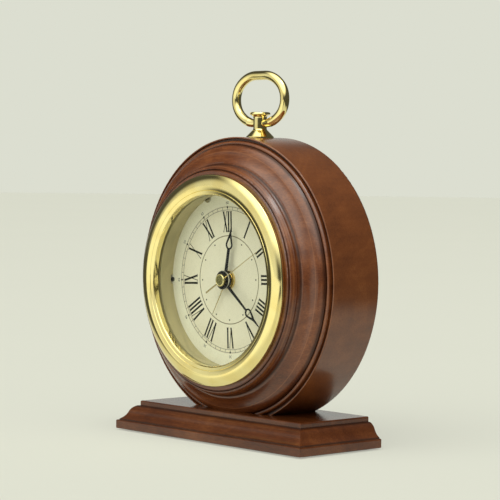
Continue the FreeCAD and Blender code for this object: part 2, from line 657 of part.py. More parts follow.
SECONDS_PHASE = 0.0
IDLER_PINION_PHASE = mesh_phase(SECONDS_WHEEL_T, SECONDS_PHASE, IDLER_PINION_T, IDLER_ANGLE)
IDLER_WHEEL_PHASE = 3.0
ROTOR_PHASE = mesh_phase(IDLER_WHEEL_T, IDLER_WHEEL_PHASE, ROTOR_T, ROTOR_ANGLE)
THIRD_WHEEL_PHASE = mesh_phase(SECONDS_PINION_T, SECONDS_PHASE, THIRD_WHEEL_T, THIRD_ANGLE)
THIRD_PINION_PHASE = 0.0
CENTRE_PHASE = mesh_phase(THIRD_PINION_T, THIRD_PINION_PHASE, CENTRE_WHEEL_T, THIRD_ANGLE + 180)
CANNON_PHASE = 0.0
MINUTE_WHEEL_PHASE = mesh_phase(CANNON_T, CANNON_PHASE, MINUTE_WHEEL_T, MINUTE_ANGLE)
MINUTE_PINION_PHASE = 0.0
HOUR_PHASE = mesh_phase(MINUTE_PINION_T, MINUTE_PINION_PHASE, HOUR_WHEEL_T, MINUTE_ANGLE + 180)
TIME_KNOB_PHASE = mesh_phase(MINUTE_WHEEL_T, MINUTE_WHEEL_PHASE, KNOB_PINION_T, TIME_KNOB_ANGLE)
ALARM_PHASE = 0.0
ALARM_KNOB_PHASE = mesh_phase(ALARM_WHEEL_T, ALARM_PHASE, KNOB_PINION_T, ALARM_KNOB_ANGLE)


def idler_wheel():
    wheel = gear(IDLER_WHEEL_T, M_FAST, *IDLER_PLANE, IDLER, IDLER_WHEEL_PHASE)
    pinion = gear(IDLER_PINION_T, M_IDLER, *lapped(SECONDS_PLANE), IDLER, IDLER_PINION_PHASE,
                  PINION_TOOTH)
    return wheel_with_pinion(IDLER, wheel, pinion, PIVOT_R, PIVOT_ENDS)


def seconds_wheel():
    """Seconds wheel and pinion on the long arbor that carries the seconds hand."""
    wheel = gear(SECONDS_WHEEL_T, M_IDLER, *SECONDS_PLANE, CENTRE, SECONDS_PHASE)
    pinion = gear(SECONDS_PINION_T, M_THIRD, *lapped(THIRD_PLANE), CENTRE, SECONDS_PHASE, PINION_TOOTH)
    front = rod(ARBOR_R, -17.6, SECONDS_PLANE[1])
    rear = rod(PIVOT_R, SECONDS_PLANE[1], PIVOT_ENDS[1])
    return fuse([front, rear, wheel, pinion])


def third_wheel():
    wheel = gear(THIRD_WHEEL_T, M_THIRD, *THIRD_PLANE, THIRD, THIRD_WHEEL_PHASE)
    pinion = gear(THIRD_PINION_T, M_CENTRE, *lapped(CENTRE_PLANE), THIRD, THIRD_PINION_PHASE, PINION_TOOTH)
    return wheel_with_pinion(THIRD, wheel, pinion, PIVOT_R, PIVOT_ENDS)


def centre_wheel():
    """Centre wheel, which grips the cannon pinion's tube and slips on it when the hands are set."""
    wheel = gear(CENTRE_WHEEL_T, M_CENTRE, *CENTRE_PLANE, CENTRE, CENTRE_PHASE)
    return wheel.cut(rod(CANNON_R + 0.03, -10, 0))


def cannon_pinion():
    """Long tube with the cannon pinion; it carries the minute hand."""
    pinion = gear(CANNON_T, M_FAST, *lapped(MINUTE_PLANE), CENTRE, CANNON_PHASE, PINION_TOOTH)
    body = fuse([rod(CANNON_R, -16.4, -2.9), pinion])
    return body.cut(rod(ARBOR_R + TUBE_GAP, -20, 0))


def minute_wheel():
    wheel = gear(MINUTE_WHEEL_T, M_FAST, *MINUTE_PLANE, MINUTE, MINUTE_WHEEL_PHASE)
    pinion = gear(MINUTE_PINION_T, M_HOUR, HOUR_PLANE[0] - 0.1, MINUTE_PLANE[0], MINUTE,
                  MINUTE_PINION_PHASE, PINION_TOOTH)
    return fuse([wheel, pinion]).cut(rod(STUD_R + TUBE_GAP, -12, 0, *MINUTE))


def hour_wheel():
    wheel = gear(HOUR_WHEEL_T, M_HOUR, *HOUR_PLANE, CENTRE, HOUR_PHASE)
    body = fuse([wheel, rod(HOUR_TUBE_R, -15.2, HOUR_PLANE[1])])
    return body.cut(rod(CANNON_R + TUBE_GAP, -20, 0))


def alarm_wheel():
    wheel = gear(ALARM_WHEEL_T, M_FAST, *ALARM_PLANE, CENTRE, ALARM_PHASE)
    body = fuse([wheel, rod(ALARM_TUBE_R, -14.2, ALARM_PLANE[1])])
    return body.cut(rod(HOUR_TUBE_R + TUBE_GAP, -20, 0))


KNOB_FRONT = MOVE_BACK + 0.5
KNOB_BACK = MOVE_BACK + 5.5
KNOB_FLANGE_R = 4.4
KNOB_FLANGE_T = 0.9
KNOB_RIBS = 24
KNOB_RIB_R = (4.1, 3.7)     # top and root of the ribs
KNOB_DISH_R = 2.6
KNOB_DISH_DEEP = 0.6


def set_knob(axis, plane, phase):
    """Knurled knob, its shaft and the pinion at the shaft's front end."""
    shaft = rod(SHAFT_R, plane[0] - PINION_LAP, KNOB_FRONT, *axis)
    pinion = gear(KNOB_PINION_T, M_FAST, *lapped(plane), axis, phase, PINION_TOOTH)
    flange_back = KNOB_FRONT + KNOB_FLANGE_T
    flange = rod(KNOB_FLANGE_R, KNOB_FRONT, flange_back, *axis)
    rim = [offset(axis, KNOB_RIB_R[k % 2], 180.0 * k / KNOB_RIBS) for k in range(2 * KNOB_RIBS)]
    grip = plate(rim, flange_back, KNOB_BACK)
    dish = rod(KNOB_DISH_R, KNOB_BACK - KNOB_DISH_DEEP, KNOB_BACK + 1, *axis)
    return fuse([shaft, pinion, flange, grip]).cut(dish)


STATOR_LEFT, STATOR_RIGHT = -12.0, 14.0
STATOR_BOTTOM = IDLER[1] - 1.4
CORE_BOTTOM, CORE_TOP = 20.0, 22.0
LEG_W = 4.0                 # width of the two legs
ROTOR_BRIDGE = 0.6          # thin iron left above the rotor's hole
ROTOR_HOLE_R = 3.3
MAGNET_R = 2.9
IDLER_HOLE_R = 0.9
COIL_W = (CORE_BOTTOM + CORE_TOP) / 2       # height of the coil's axis
COIL_Y = sum(STATOR_PLANE) / 2
BOBBIN_ENDS = (-7.5, 9.5)
BOBBIN_R = 1.6
FLANGE_R = 3.3
FLANGE_T = 0.8
WINDING_R = 2.9


def stator():
    """Flat steel loop: a bar with the rotor hole, and two legs up to the coil's core."""
    plate_y = STATOR_PLANE
    whole = block(STATOR_LEFT, STATOR_RIGHT, *plate_y, STATOR_BOTTOM, CORE_BOTTOM)
    window_bottom = ROTOR[1] + ROTOR_HOLE_R + ROTOR_BRIDGE
    window = block(STATOR_LEFT + LEG_W, STATOR_RIGHT - LEG_W, *lapped(plate_y), window_bottom,
                   CORE_BOTTOM + 1)
    frame = whole.cut(window)
    frame = frame.cut(rod(ROTOR_HOLE_R, *lapped(plate_y), *ROTOR))
    return frame.cut(rod(IDLER_HOLE_R, *lapped(plate_y), *IDLER))


def along_x(r, x0, x1):
    return Part.makeCylinder(r, x1 - x0, V(x0, COIL_Y, AXIS_Z + COIL_W), V(1, 0, 0))


def coil_core():
    return block(STATOR_LEFT, STATOR_RIGHT, *STATOR_PLANE, CORE_BOTTOM, CORE_TOP)


def coil_bobbin():
    """Plastic bobbin: a tube with two flanges, around the core."""
    x0, x1 = BOBBIN_ENDS
    flanges = [along_x(FLANGE_R, x0, x0 + FLANGE_T), along_x(FLANGE_R, x1 - FLANGE_T, x1)]
    return fuse([along_x(BOBBIN_R, x0, x1)] + flanges).cut(coil_core())


def coil_winding():
    x0, x1 = BOBBIN_ENDS[0] + FLANGE_T, BOBBIN_ENDS[1] - FLANGE_T
    return along_x(WINDING_R, x0, x1).cut(along_x(BOBBIN_R, x0 - 1, x1 + 1))


# ---- electrics -------------------------------------------------------------------------------
BOARD_LEFT, BOARD_RIGHT = -26.0, -14.8
BOARD_FRONT, BOARD_BACK = 3.3, 4.1
BOARD_BOTTOM, BOARD_TOP = -8.5, 22.0
CRYSTAL = (-20.5, -4.0)     # (u, w) of the can's lower end
CRYSTAL_R = 1.0
CRYSTAL_L = 6.0
LEAD_R = 0.2
LEAD_L = 2.0
LEAD_APART = 1.0
CHIP = (-20.4, 8.0)
CHIP_DROP_R = 3.2           # the resin is a cap of this sphere
CHIP_DROP_SINK = 2.2        # and the sphere's middle lies this far behind the board's face
BRASS_DISC_T = 0.4
CERAMIC_R = 4.6
CERAMIC_T = 0.3


def circuit_board():
    return block(BOARD_LEFT, BOARD_RIGHT, BOARD_FRONT, BOARD_BACK, BOARD_BOTTOM, BOARD_TOP)


def crystal():
    """Small can of the quartz crystal, soldered flat on the board, with its two leads."""
    u, w = CRYSTAL

    def standing(r, du, y, w0, w1):
        return Part.makeCylinder(r, w1 - w0, V(u + du, y, AXIS_Z + w0), V(0, 0, 1))

    can = standing(CRYSTAL_R, 0.0, BOARD_FRONT - CRYSTAL_R, w, w + CRYSTAL_L)
    solder = block(u - 0.4, u + 0.4, BOARD_FRONT - 0.2, BOARD_FRONT, w + 2.0, w + 3.0)
    leads = [standing(LEAD_R, du, BOARD_FRONT - LEAD_R, w - LEAD_L, w + 0.5)
             for du in (-LEAD_APART / 2, LEAD_APART / 2)]
    return fuse([can, solder] + leads)


def chip():
    """Drop of black resin over the bonded chip."""
    u, w = CHIP
    r = CHIP_DROP_R
    ball = Part.makeSphere(r, V(u, BOARD_FRONT + CHIP_DROP_SINK, AXIS_Z + w))
    return ball.common(block(u - r, u + r, BOARD_FRONT - r, BOARD_FRONT, w - r, w + r))


def buzzer():
    """Piezo disc: a brass disc with a smaller ceramic one on it."""
    back = MOVE_BACK - MOVE_WALL
    brass_front = back - BRASS_DISC_T
    brass = rod(BUZZER_R, brass_front, back, *BUZZER)
    return fuse([brass, rod(CERAMIC_R, brass_front - CERAMIC_T, brass_front, *BUZZER)])


LEAF_U = (-14.6, -14.2)
LEAF_W = (-4.0, 8.5)
LEAF_FRONT = -8.2
LEAF_FOOT_LEFT = -18.5
LEAF_FOOT_TOP = -1.0
LEAF_FOOT_T = 0.3


def alarm_contact():
    """Leaf of springy brass that the alarm wheel lets close; its foot lies on the plate."""
    foot_front = PLATE_FRONT - LEAF_FOOT_T
    foot = block(LEAF_FOOT_LEFT, LEAF_U[1], foot_front, PLATE_FRONT, LEAF_W[0], LEAF_FOOT_TOP)
    return fuse([foot, block(*LEAF_U, LEAF_FRONT, foot_front, *LEAF_W)])


def lying(r, x0, x1):
    """A cylinder along X on the battery's axis."""
    return Part.makeCylinder(r, x1 - x0, V(x0, BATTERY_Y, AXIS_Z + BATTERY_W), V(1, 0, 0))


def battery():
    """One AA cell lying across the bay."""
    x0 = -BATTERY_L / 2 - BATTERY_SHIFT
    x1 = x0 + BATTERY_L
    body = lying(BATTERY_R, x0, x1)
    edges = [e for e in body.Edges if e.Curve.TypeId == "Part::GeomCircle"]
    return fuse([body.makeFillet(BATTERY_EDGE, edges), lying(NUB_R, x1, x1 + NUB_L)])


STRIP_T = 0.4
STRIP_Y = (-8.6, 4.4)
STRIP_W = (-24.6, -14.2)
STUB_R = 2.2


def bay_contact(side):
    """Nickel-plated strip at one end of the battery bay; side is -1 or 1."""
    wall = side * INNER
    face = wall - side * STRIP_T
    strip = block(min(wall, face), max(wall, face), *STRIP_Y, *STRIP_W)
    tip = side * BATTERY_L / 2 - BATTERY_SHIFT
    if side > 0:
        tip += NUB_L
    return fuse([strip, lying(STUB_R, *sorted((tip, face)))])


STEM_W = 2.0                # the switch's stem, in the slot
STEM_H = 3.0
SHOE_W = 4.8
SHOE_T = 0.65
PAD_W = 4.4
PAD_H = 6.0
PAD_Y = (MOVE_BACK + 0.15, MOVE_BACK + 1.6)
RIDGE_H = 0.7
RIDGE_PITCH = 1.6
RIDGE_BACK = MOVE_BACK + 2.1


def alarm_switch():
    """Slider: an inner shoe, a stem through the slot and a ribbed thumb pad outside."""
    u = SWITCH[0]
    rest = SWITCH[1] - SWITCH_TRAVEL / 2
    inside = MOVE_BACK - MOVE_WALL - 0.1

    def bar(width, height, y0, y1, middle=rest):
        half_w, half_h = width / 2, height / 2
        return block(u - half_w, u + half_w, y0, y1, middle - half_h, middle + half_h)

    shoe = bar(SHOE_W, STEM_H, inside - SHOE_T, inside)
    stem = bar(STEM_W, STEM_H, inside, PAD_Y[1])
    pad = bar(PAD_W, PAD_H, *PAD_Y)
    ridges = [bar(PAD_W, RIDGE_H, PAD_Y[1], RIDGE_BACK, rest + k * RIDGE_PITCH) for k in (-1, 0, 1)]
    return fuse([shoe, stem, pad] + ridges)


# ---- hands -----------------------------------------------------------------------------------
def turned_to(shape, degrees):
    """Turns a hand that points to 12 to its direction on the dial, clockwise from the front."""
    out = shape.copy()
    out.rotate(V(0, 0, AXIS_Z), V(0, 1, 0), degrees)
    return out


def open_hand(y, length, loop_at, loop_r, stem_half, hub_r, hub_t, bore_r):
    """Black stamped hand: tapering stem, open pear-shaped loop and a fine tip."""
    y1 = y + HAND_T
    inner_r = loop_r - LOOP_LINE
    foot, end = stem_half
    stem_end = loop_at - loop_r + 0.3
    stem = plate([(-foot, 0.0), (foot, 0.0), (end, stem_end), (-end, stem_end)], y, y1)

    def pear(r, front, back, apex, apex_half):
        """A circle and the two straight sides that close above it."""
        side_u, side_w = r * math.cos(PEAR_SHOULDER), loop_at + r * math.sin(PEAR_SHOULDER)
        cap = [(-side_u, side_w), (side_u, side_w), (apex_half, apex), (-apex_half, apex)]
        return fuse([rod(r, front, back, 0, loop_at), plate(cap, front, back)])

    outer = pear(loop_r, y, y1, loop_at + 2.35 * loop_r, TIP_FOOT_HALF)
    inner = pear(inner_r, y - 1, y1 + 1, loop_at + 2.5 * inner_r, 0.05)
    tip_foot = loop_at + 2.3 * loop_r
    tip = plate([(-TIP_FOOT_HALF, tip_foot), (TIP_FOOT_HALF, tip_foot), (0.10, length),
                 (-0.10, length)], y, y1)
    hub = rod(hub_r, y1 - hub_t, y1)
    hand = fuse([stem, outer.cut(inner), tip, hub])
    return hand.cut(rod(bore_r, y - 5, y + 5))


def hour_hand():
    hand = open_hand(HOUR_HAND_Y, HOUR_HAND_L, 18.3, 2.45, (1.15, 0.85), 4.6, 0.9, HOUR_TUBE_R)
    return turned_to(hand, HOUR_ANGLE)


def minute_hand():
    hand = open_hand(MINUTE_HAND_Y, MINUTE_HAND_L, 24.9, 2.3, (0.95, 0.48), 4.75, 0.8, CANNON_R)
    return turned_to(hand, MINUTE_HAND_ANGLE)


def alarm_hand():
    """Thin gold pointer on a small collet."""
    y1 = ALARM_HAND_Y + NEEDLE_T
    blade = plate([(-0.45, 0.0), (0.45, 0.0), (0.14, ALARM_HAND_L), (-0.14, ALARM_HAND_L)],
                  ALARM_HAND_Y, y1)
    hand = fuse([blade, rod(3.6, ALARM_HAND_Y - 0.15, y1)])
    return turned_to(hand.cut(rod(ALARM_TUBE_R, -20, 0)), ALARM_TIME_ANGLE)


def seconds_hand():
    """Thin gold needle with a thicker tail."""
    y1 = SECONDS_HAND_Y + NEEDLE_T
    blade = plate([(-0.30, 0.0), (-0.13, SECONDS_HAND_L), (0.13, SECONDS_HAND_L), (0.30, 0.0),
                   (0.45, -4.0), (0.45, -SECONDS_TAIL_L), (-0.45, -SECONDS_TAIL_L), (-0.45, -4.0)],
                  SECONDS_HAND_Y, y1)
    hand = fuse([blade, rod(2.4, SECONDS_HAND_Y, y1)])
    return turned_to(hand.cut(rod(ARBOR_R, -20, 0)), SECONDS_ANGLE)


def seconds_cap():
    """Turned brass cap pressed on the seconds arbor, in front of the seconds hand."""
    cap = turned([
        (SECONDS_HAND_Y, 0.0), (SECONDS_HAND_Y, 3.2), (CAP_FRONT + 0.5, 3.2),
        ((CAP_FRONT + 0.12, 3.05), (CAP_FRONT, 2.7)), (CAP_FRONT + 0.15, 2.5),
        (CAP_FRONT + 0.15, 0.0),
    ])
    return cap.cut(rod(ARBOR_R, -17.6, 0))


# ---- build -----------------------------------------------------------------------------------
def main():
    os.makedirs("parts", exist_ok=True)
    nodes = {
        "base_felt": base_felt(),
        "plinth": plinth(),
        "plinth_screws": plinth_screws(),
        "case_drum": case_drum(),
        "front_moulding": front_moulding(),
        "handle_post": handle_post(),
        "post_hanger_bolt": hanger_bolt(),
        "bow_handle": bow_handle(),
        "bezel": bezel(),
        "lens": lens(),
        "sight_ring": sight_ring(),
        "dial": dial(),
        "dial_screws": dial_screws(),
        "dial_pegs": dial_pegs(),
        "insert_can": insert_can(),
        "fit_ring": fit_ring(),
        "movement_front_housing": movement_front(),
        "movement_rear_housing": movement_rear(),
        "movement_middle_plate": middle_plate(),
        "centre_bush": centre_bush(),
        "bush_nut": bush_nut(),
        "rotor": rotor(),
        "stator": stator(),
        "coil_core": coil_core(),
        "coil_bobbin": coil_bobbin(),
        "coil_winding": coil_winding(),
        "idler_wheel": idler_wheel(),
        "seconds_wheel": seconds_wheel(),
        "third_wheel": third_wheel(),
        "centre_wheel": centre_wheel(),
        "cannon_pinion": cannon_pinion(),
        "minute_wheel": minute_wheel(),
        "hour_wheel": hour_wheel(),
        "alarm_wheel": alarm_wheel(),
        "time_set_knob": set_knob(TIME_KNOB, MINUTE_PLANE, TIME_KNOB_PHASE),
        "alarm_set_knob": set_knob(ALARM_KNOB, ALARM_PLANE, ALARM_KNOB_PHASE),
        "alarm_switch": alarm_switch(),
        "alarm_contact": alarm_contact(),
        "circuit_board": circuit_board(),
        "quartz_crystal": crystal(),
        "control_chip": chip(),
        "buzzer_disc": buzzer(),
        "battery": battery(),
        "battery_contact_minus": bay_contact(-1),
        "battery_contact_plus": bay_contact(1),
        "alarm_hand": alarm_hand(),
        "hour_hand": hour_hand(),
        "minute_hand": minute_hand(),
        "seconds_hand": seconds_hand(),
        "seconds_cap": seconds_cap(),
    }
    for name, shape in nodes.items():
        save(name, shape)
        box = shape.BoundBox
        print(f"{name:24s} solids {len(shape.Solids)} valid {shape.isValid()} "
              f"x {box.XMin:.2f} {box.XMax:.2f} y {box.YMin:.2f} {box.YMax:.2f} "
              f"z {box.ZMin:.2f} {box.ZMax:.2f}")


main()
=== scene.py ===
import json
import math
import random

import bmesh
import bpy
from mathutils import Matrix, Vector


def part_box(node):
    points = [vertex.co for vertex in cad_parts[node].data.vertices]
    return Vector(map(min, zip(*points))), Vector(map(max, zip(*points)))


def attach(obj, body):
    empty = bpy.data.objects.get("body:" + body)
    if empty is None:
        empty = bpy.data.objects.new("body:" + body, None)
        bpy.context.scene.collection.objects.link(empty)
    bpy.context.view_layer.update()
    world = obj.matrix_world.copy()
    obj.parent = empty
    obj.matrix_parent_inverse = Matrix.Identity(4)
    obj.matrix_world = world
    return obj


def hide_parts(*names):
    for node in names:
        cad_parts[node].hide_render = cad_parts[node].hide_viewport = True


# Looks of a round wooden table alarm clock. Everything is in metres, in the frame of the packed
# model: the origin is under the middle of the base, the dial faces -Y and +Z is up.

MM = 0.001


# ---- places, all read from the frame -----------------------------------------------------------
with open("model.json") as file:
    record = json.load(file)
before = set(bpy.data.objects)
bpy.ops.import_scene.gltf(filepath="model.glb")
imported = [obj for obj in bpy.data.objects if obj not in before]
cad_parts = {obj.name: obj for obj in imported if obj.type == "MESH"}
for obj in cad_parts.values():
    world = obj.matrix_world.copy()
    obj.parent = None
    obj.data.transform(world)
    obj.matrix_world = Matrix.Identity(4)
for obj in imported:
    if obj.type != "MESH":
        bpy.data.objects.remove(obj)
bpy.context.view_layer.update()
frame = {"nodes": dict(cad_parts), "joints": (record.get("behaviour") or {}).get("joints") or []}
AXIS_Z = {j["name"]: j for j in frame["joints"]}["minute_set"]["pos_m"][2]
DIAL_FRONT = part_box("dial")[0].y


# ---- shader nodes ------------------------------------------------------------------------------
def set_inputs(tree, node, inputs):
    """Joins a socket, or sets a constant, on each named input."""
    for key, value in inputs.items():
        name = key.replace("_", " ") if isinstance(key, str) else key
        if isinstance(value, bpy.types.NodeSocket):
            tree.links.new(value, node.inputs[name])
        else:
            node.inputs[name].default_value = value


def add_node(tree, kind, inputs=None, **settings):
    made = tree.nodes.new(kind)
    for key, value in settings.items():
        setattr(made, key, value)
    set_inputs(tree, made, inputs or {})
    return made


def scaled(colour, factor):
    return tuple(factor * c for c in colour)


class Shader:
    """A material with one Principled shader, and short ways to add and join nodes."""

    def __init__(self, name, **values):
        self.material = bpy.data.materials.new(name)
        self.material.use_nodes = True
        self.tree = self.material.node_tree
        self.principled = self.tree.nodes["Principled BSDF"]
        self.feed(**values)
        self.place = self.node("ShaderNodeTexCoord").outputs["Object"]

    def node(self, kind, inputs=None, **settings):
        return add_node(self.tree, kind, inputs, **settings)

    def feed(self, **values):
        """Sets the Principled shader's own inputs."""
        set_inputs(self.tree, self.principled, values)

    def math(self, operation, a, b=0.0, c=0.0):
        return self.node("ShaderNodeMath", {0: a, 1: b, 2: c}, operation=operation).outputs[0]

    def stretched(self, scale, turn=(0.0, 0.0, 0.0), origin=(0.0, 0.0, 0.0)):
        """Object coordinates times scale, after a shift and a turn in degrees."""
        moved = self.node("ShaderNodeMapping", {
            "Vector": self.place, "Location": [-v for v in origin]})
        turned = self.node("ShaderNodeMapping", {
            "Vector": moved.outputs[0], "Rotation": [math.radians(t) for t in turn]})
        return self.node("ShaderNodeMapping", {
            "Vector": turned.outputs[0], "Scale": scale}).outputs[0]

    def noise(self, vector, detail=3.0, distortion=0.0, roughness=0.5):
        return self.node("ShaderNodeTexNoise", {
            "Vector": vector, "Scale": 1.0, "Detail": detail, "Roughness": roughness,
            "Distortion": distortion}).outputs["Fac"]

    def even_noise(self, scale, detail=3.0, distortion=0.0):
        """Noise with the same scale along every axis."""
        return self.noise(self.stretched((scale, scale, scale)), detail, distortion)

    def ramp(self, factor, *stops):
        """Each stop is (position, colour); colours are linear."""
        made = self.node("ShaderNodeValToRGB", {"Fac": factor})
        band = made.color_ramp.elements
        while len(band) < len(stops):
            band.new(1.0)
        for element, (position, colour) in zip(band, stops):
            element.position = position
            element.color = (*colour, 1.0)
        return made.outputs["Color"]

    def span(self, value, low, high, to_low=0.0, to_high=1.0):
        """A smooth step: to_low at low and below, to_high at high and above."""
        return self.node("ShaderNodeMapRange", {
            "Value": value, "From Min": low, "From Max": high, "To Min": to_low,
            "To Max": to_high}, interpolation_type="SMOOTHSTEP").outputs["Result"]

    def near(self, value, level, reach, strength, start=0.0):
        """Strength where value is at the level, fading to nothing at reach from it."""
        away = self.math("ABSOLUTE", self.math("SUBTRACT", value, level))
        return self.span(away, start, reach, strength, 0.0)

    def blend(self, factor, a, b):
        """Colour a where the factor is 0, colour b where it is 1."""
        made = self.node("ShaderNodeMix", data_type="RGBA", blend_type="MIX")
        for index, value in ((0, factor), (6, a), (7, b)):
            if isinstance(value, bpy.types.NodeSocket):
                self.tree.links.new(value, made.inputs[index])
            else:
                made.inputs[index].default_value = value if index == 0 else (*value, 1.0)
        return made.outputs[2]

    def radius(self):
        """Distance from the dial's axis, in metres."""
        parts = self.node("ShaderNodeSeparateXYZ", {"Vector": self.place})
        height = self.math("SUBTRACT", parts.outputs["Z"], AXIS_Z)
        flat = self.node("ShaderNodeCombineXYZ", {"X": parts.outputs["X"], "Y": height})
        return self.node("ShaderNodeVectorMath", {0: flat.outputs[0]},
                         operation="LENGTH").outputs["Value"]

    def along(self, letter):
        """Place along one axis of the frame, in metres."""
        return self.node("ShaderNodeSeparateXYZ", {"Vector": self.place}).outputs[letter]

    def bump(self, height, distance, strength=1.0, socket="Normal"):
        made = self.node("ShaderNodeBump", {
            "Height": height, "Distance": distance, "Strength": strength})
        self.feed(**{socket: made.outputs["Normal"]})


# ---- materials ---------------------------------------------------------------------------------
# Radii on the turned front where shade is painted into a groove, or a highlight is painted on an
# arris, and heights on the plinth where shade is painted at the foot of a moulding.
GROOVE_RADII = (71.5 * MM, 68.9 * MM, 58.9 * MM, 56.2 * MM)
GROOVE_REACH = 0.9 * MM
ARRIS_RADII = (72.8 * MM, 70.3 * MM, 65.5 * MM, 57.7 * MM)
ARRIS_REACH = 0.35 * MM
LEDGE_HEIGHTS = (4.9 * MM, 12.3 * MM)
LEDGE_START, LEDGE_REACH = 0.1 * MM, 0.7 * MM

WOOD_DARK = (0.072, 0.0165, 0.0040)
WOOD_MID = (0.140, 0.0360, 0.0080)
WOOD_LIGHT = (0.245, 0.0760, 0.0200)
# Painted shade: darkens the grooves of the turned front and the foot of each moulding on the
# plinth.
PAINTED_SHADE_COLOUR = (0.016, 0.0040, 0.0015)
# Painted highlight along each arris of the turned front.
ARRIS_PAINTED_HIGHLIGHT = (0.34, 0.125, 0.040)


def wood(name, turned, origin, shade=1.0, coat_ior=1.56, coat_roughness=0.21):
    """Red-brown stained hardwood under a glossy lacquer. Shade is painted into the grooves and at
    the foot of the plinth's mouldings, where the lacquer is thinner, and a highlight along each
    arris. The grain runs along X."""
    m = Shader(name, Coat_Roughness=coat_roughness, Coat_IOR=coat_ior, Specular_IOR_Level=0.1)
    rings = m.node("ShaderNodeTexWave", {
        "Vector": m.stretched((1.0, 3.0, 3.0), (0.0, 4.0, 7.0), origin), "Scale": 11.0,
        "Distortion": 9.0, "Detail": 4.0, "Detail Scale": 1.4, "Detail Roughness": 0.65},
        wave_type="RINGS", rings_direction="X").outputs["Fac"]
    fibre = m.noise(m.stretched((60.0, 1500.0, 1500.0)), 4.0, 0.2)
    stain = m.noise(m.stretched((26.0, 34.0, 34.0), origin=origin), 5.0, 0.8, roughness=0.62)
    speck = m.noise(m.stretched((300.0, 1400.0, 1400.0)), 3.0, roughness=0.65)
    tone = m.math("MULTIPLY_ADD", rings, 0.06, m.math("MULTIPLY", stain, 0.64))
    tone = m.math("MULTIPLY_ADD", fibre, 0.26, tone)
    tone = m.math("MULTIPLY_ADD", speck, 0.34, tone)
    dark, middle, light = (scaled(c, shade) for c in (WOOD_DARK, WOOD_MID, WOOD_LIGHT))
    colour = m.ramp(tone, (0.47, dark), (0.66, middle), (0.87, light))
    pores = m.noise(m.stretched((230.0, 4200.0, 4200.0)), 2.0)
    open_pore = m.span(pores, 0.60, 0.72)
    colour = m.blend(m.math("MULTIPLY", open_pore, 0.40), colour, dark)
    if turned:
        place, levels, reach, start, strength = m.radius(), GROOVE_RADII, GROOVE_REACH, 0.0, 0.75
    else:
        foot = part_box("plinth")[0].z
        place, levels = m.along("Z"), [foot + ledge for ledge in LEDGE_HEIGHTS]
        reach, start, strength = LEDGE_REACH, LEDGE_START, 0.65
    # Painted shade in each groove or at each moulding's foot; the lacquer is made thinner there
    # too.
    painted_shade_mask = 0.0
    for level in levels:
        painted_shade_here = m.near(place, level, reach, strength, start)
        colour = m.blend(painted_shade_here, colour, PAINTED_SHADE_COLOUR)
        painted_shade_mask = m.math("MAXIMUM", painted_shade_here, painted_shade_mask)
    # A painted highlight along each arris.
    for arris in ARRIS_RADII if turned else ():
        colour = m.blend(m.near(place, arris, ARRIS_REACH, 0.35), colour, ARRIS_PAINTED_HIGHLIGHT)
    m.feed(Coat_Weight=m.span(painted_shade_mask, 0.1, 0.8, 1.0, 0.5))
    m.feed(Base_Color=colour)
    m.feed(Roughness=m.span(fibre, 0.3, 0.7, 0.36, 0.50))
    m.bump(m.math("ADD", pores, m.math("MULTIPLY", fibre, 0.5)), 0.03 * MM, 0.5)
    peel = m.even_noise(240.0, 2.0)
    m.bump(peel, 0.035 * MM, 0.35, "Coat Normal")
    return m.material


def polished_brass(name, turned=False, roughness=0.10, colour=(0.93, 0.80, 0.36)):
    """Polished, lacquered brass with hairline marks and a little tarnish."""
    m = Shader(name, Metallic=1.0, Coat_Weight=0.25, Coat_Roughness=0.05)
    cloud = m.even_noise(70.0, 4.0, 0.5)
    warm = tuple(c * f for c, f in zip(colour, (0.94, 0.88, 0.74)))
    m.feed(Base_Color=m.blend(m.span(cloud, 0.35, 0.75), colour, warm))
    marks = m.noise(m.stretched((900.0, 5200.0, 700.0), (20.0, 35.0, 50.0)), 3.0)
    m.feed(Roughness=m.span(m.math("MULTIPLY_ADD", marks, 0.5, m.math("MULTIPLY", cloud, 0.5)),
                            0.35, 0.7, roughness * 0.7, roughness * 1.5))
    if turned:
        lines = m.node("ShaderNodeTexNoise", {
            "W": m.math("MULTIPLY", m.radius(), 9000.0), "Scale": 1.0, "Detail": 2.0},
            noise_dimensions="1D").outputs["Fac"]
        m.bump(lines, 0.004 * MM, 0.35)
    else:
        m.bump(marks, 0.003 * MM, 0.4)
    return m.material


def turned_metal(name, colour, roughness):
    """Small turned or stamped metal parts: fine marks and light wear."""
    m = Shader(name, Metallic=1.0)
    grain = m.even_noise(2600.0)
    wear = m.even_noise(320.0)
    dull = scaled(colour, 0.78)
    m.feed(Base_Color=m.blend(m.span(wear, 0.4, 0.75), colour, dull))
    m.feed(Roughness=m.span(grain, 0.3, 0.7, roughness * 0.75, roughness * 1.3))
    m.bump(grain, 0.006 * MM, 0.4)
    return m.material


def cap_metal():
    """Domed gilt cap with a darker flat face inside a bright rim."""
    m = Shader("cap_gilt", Metallic=1.0)
    face = m.span(m.radius(), 2.45 * MM, 2.75 * MM, 1.0, 0.0)
    grain = m.even_noise(2600.0)
    flat = m.blend(grain, (0.17, 0.16, 0.070), (0.25, 0.22, 0.090))
    m.feed(Base_Color=m.blend(face, (0.82, 0.70, 0.34), flat))
    m.feed(Roughness=m.span(grain, 0.3, 0.7, 0.20, 0.32))
    m.bump(grain, 0.006 * MM, 0.4)
    return m.material


CREAM = (0.80, 0.745, 0.605)
CREAM_OUTER = (0.88, 0.85, 0.72)
OUTER_FROM = 37.5 * MM
OUTER_FADE = 0.6 * MM


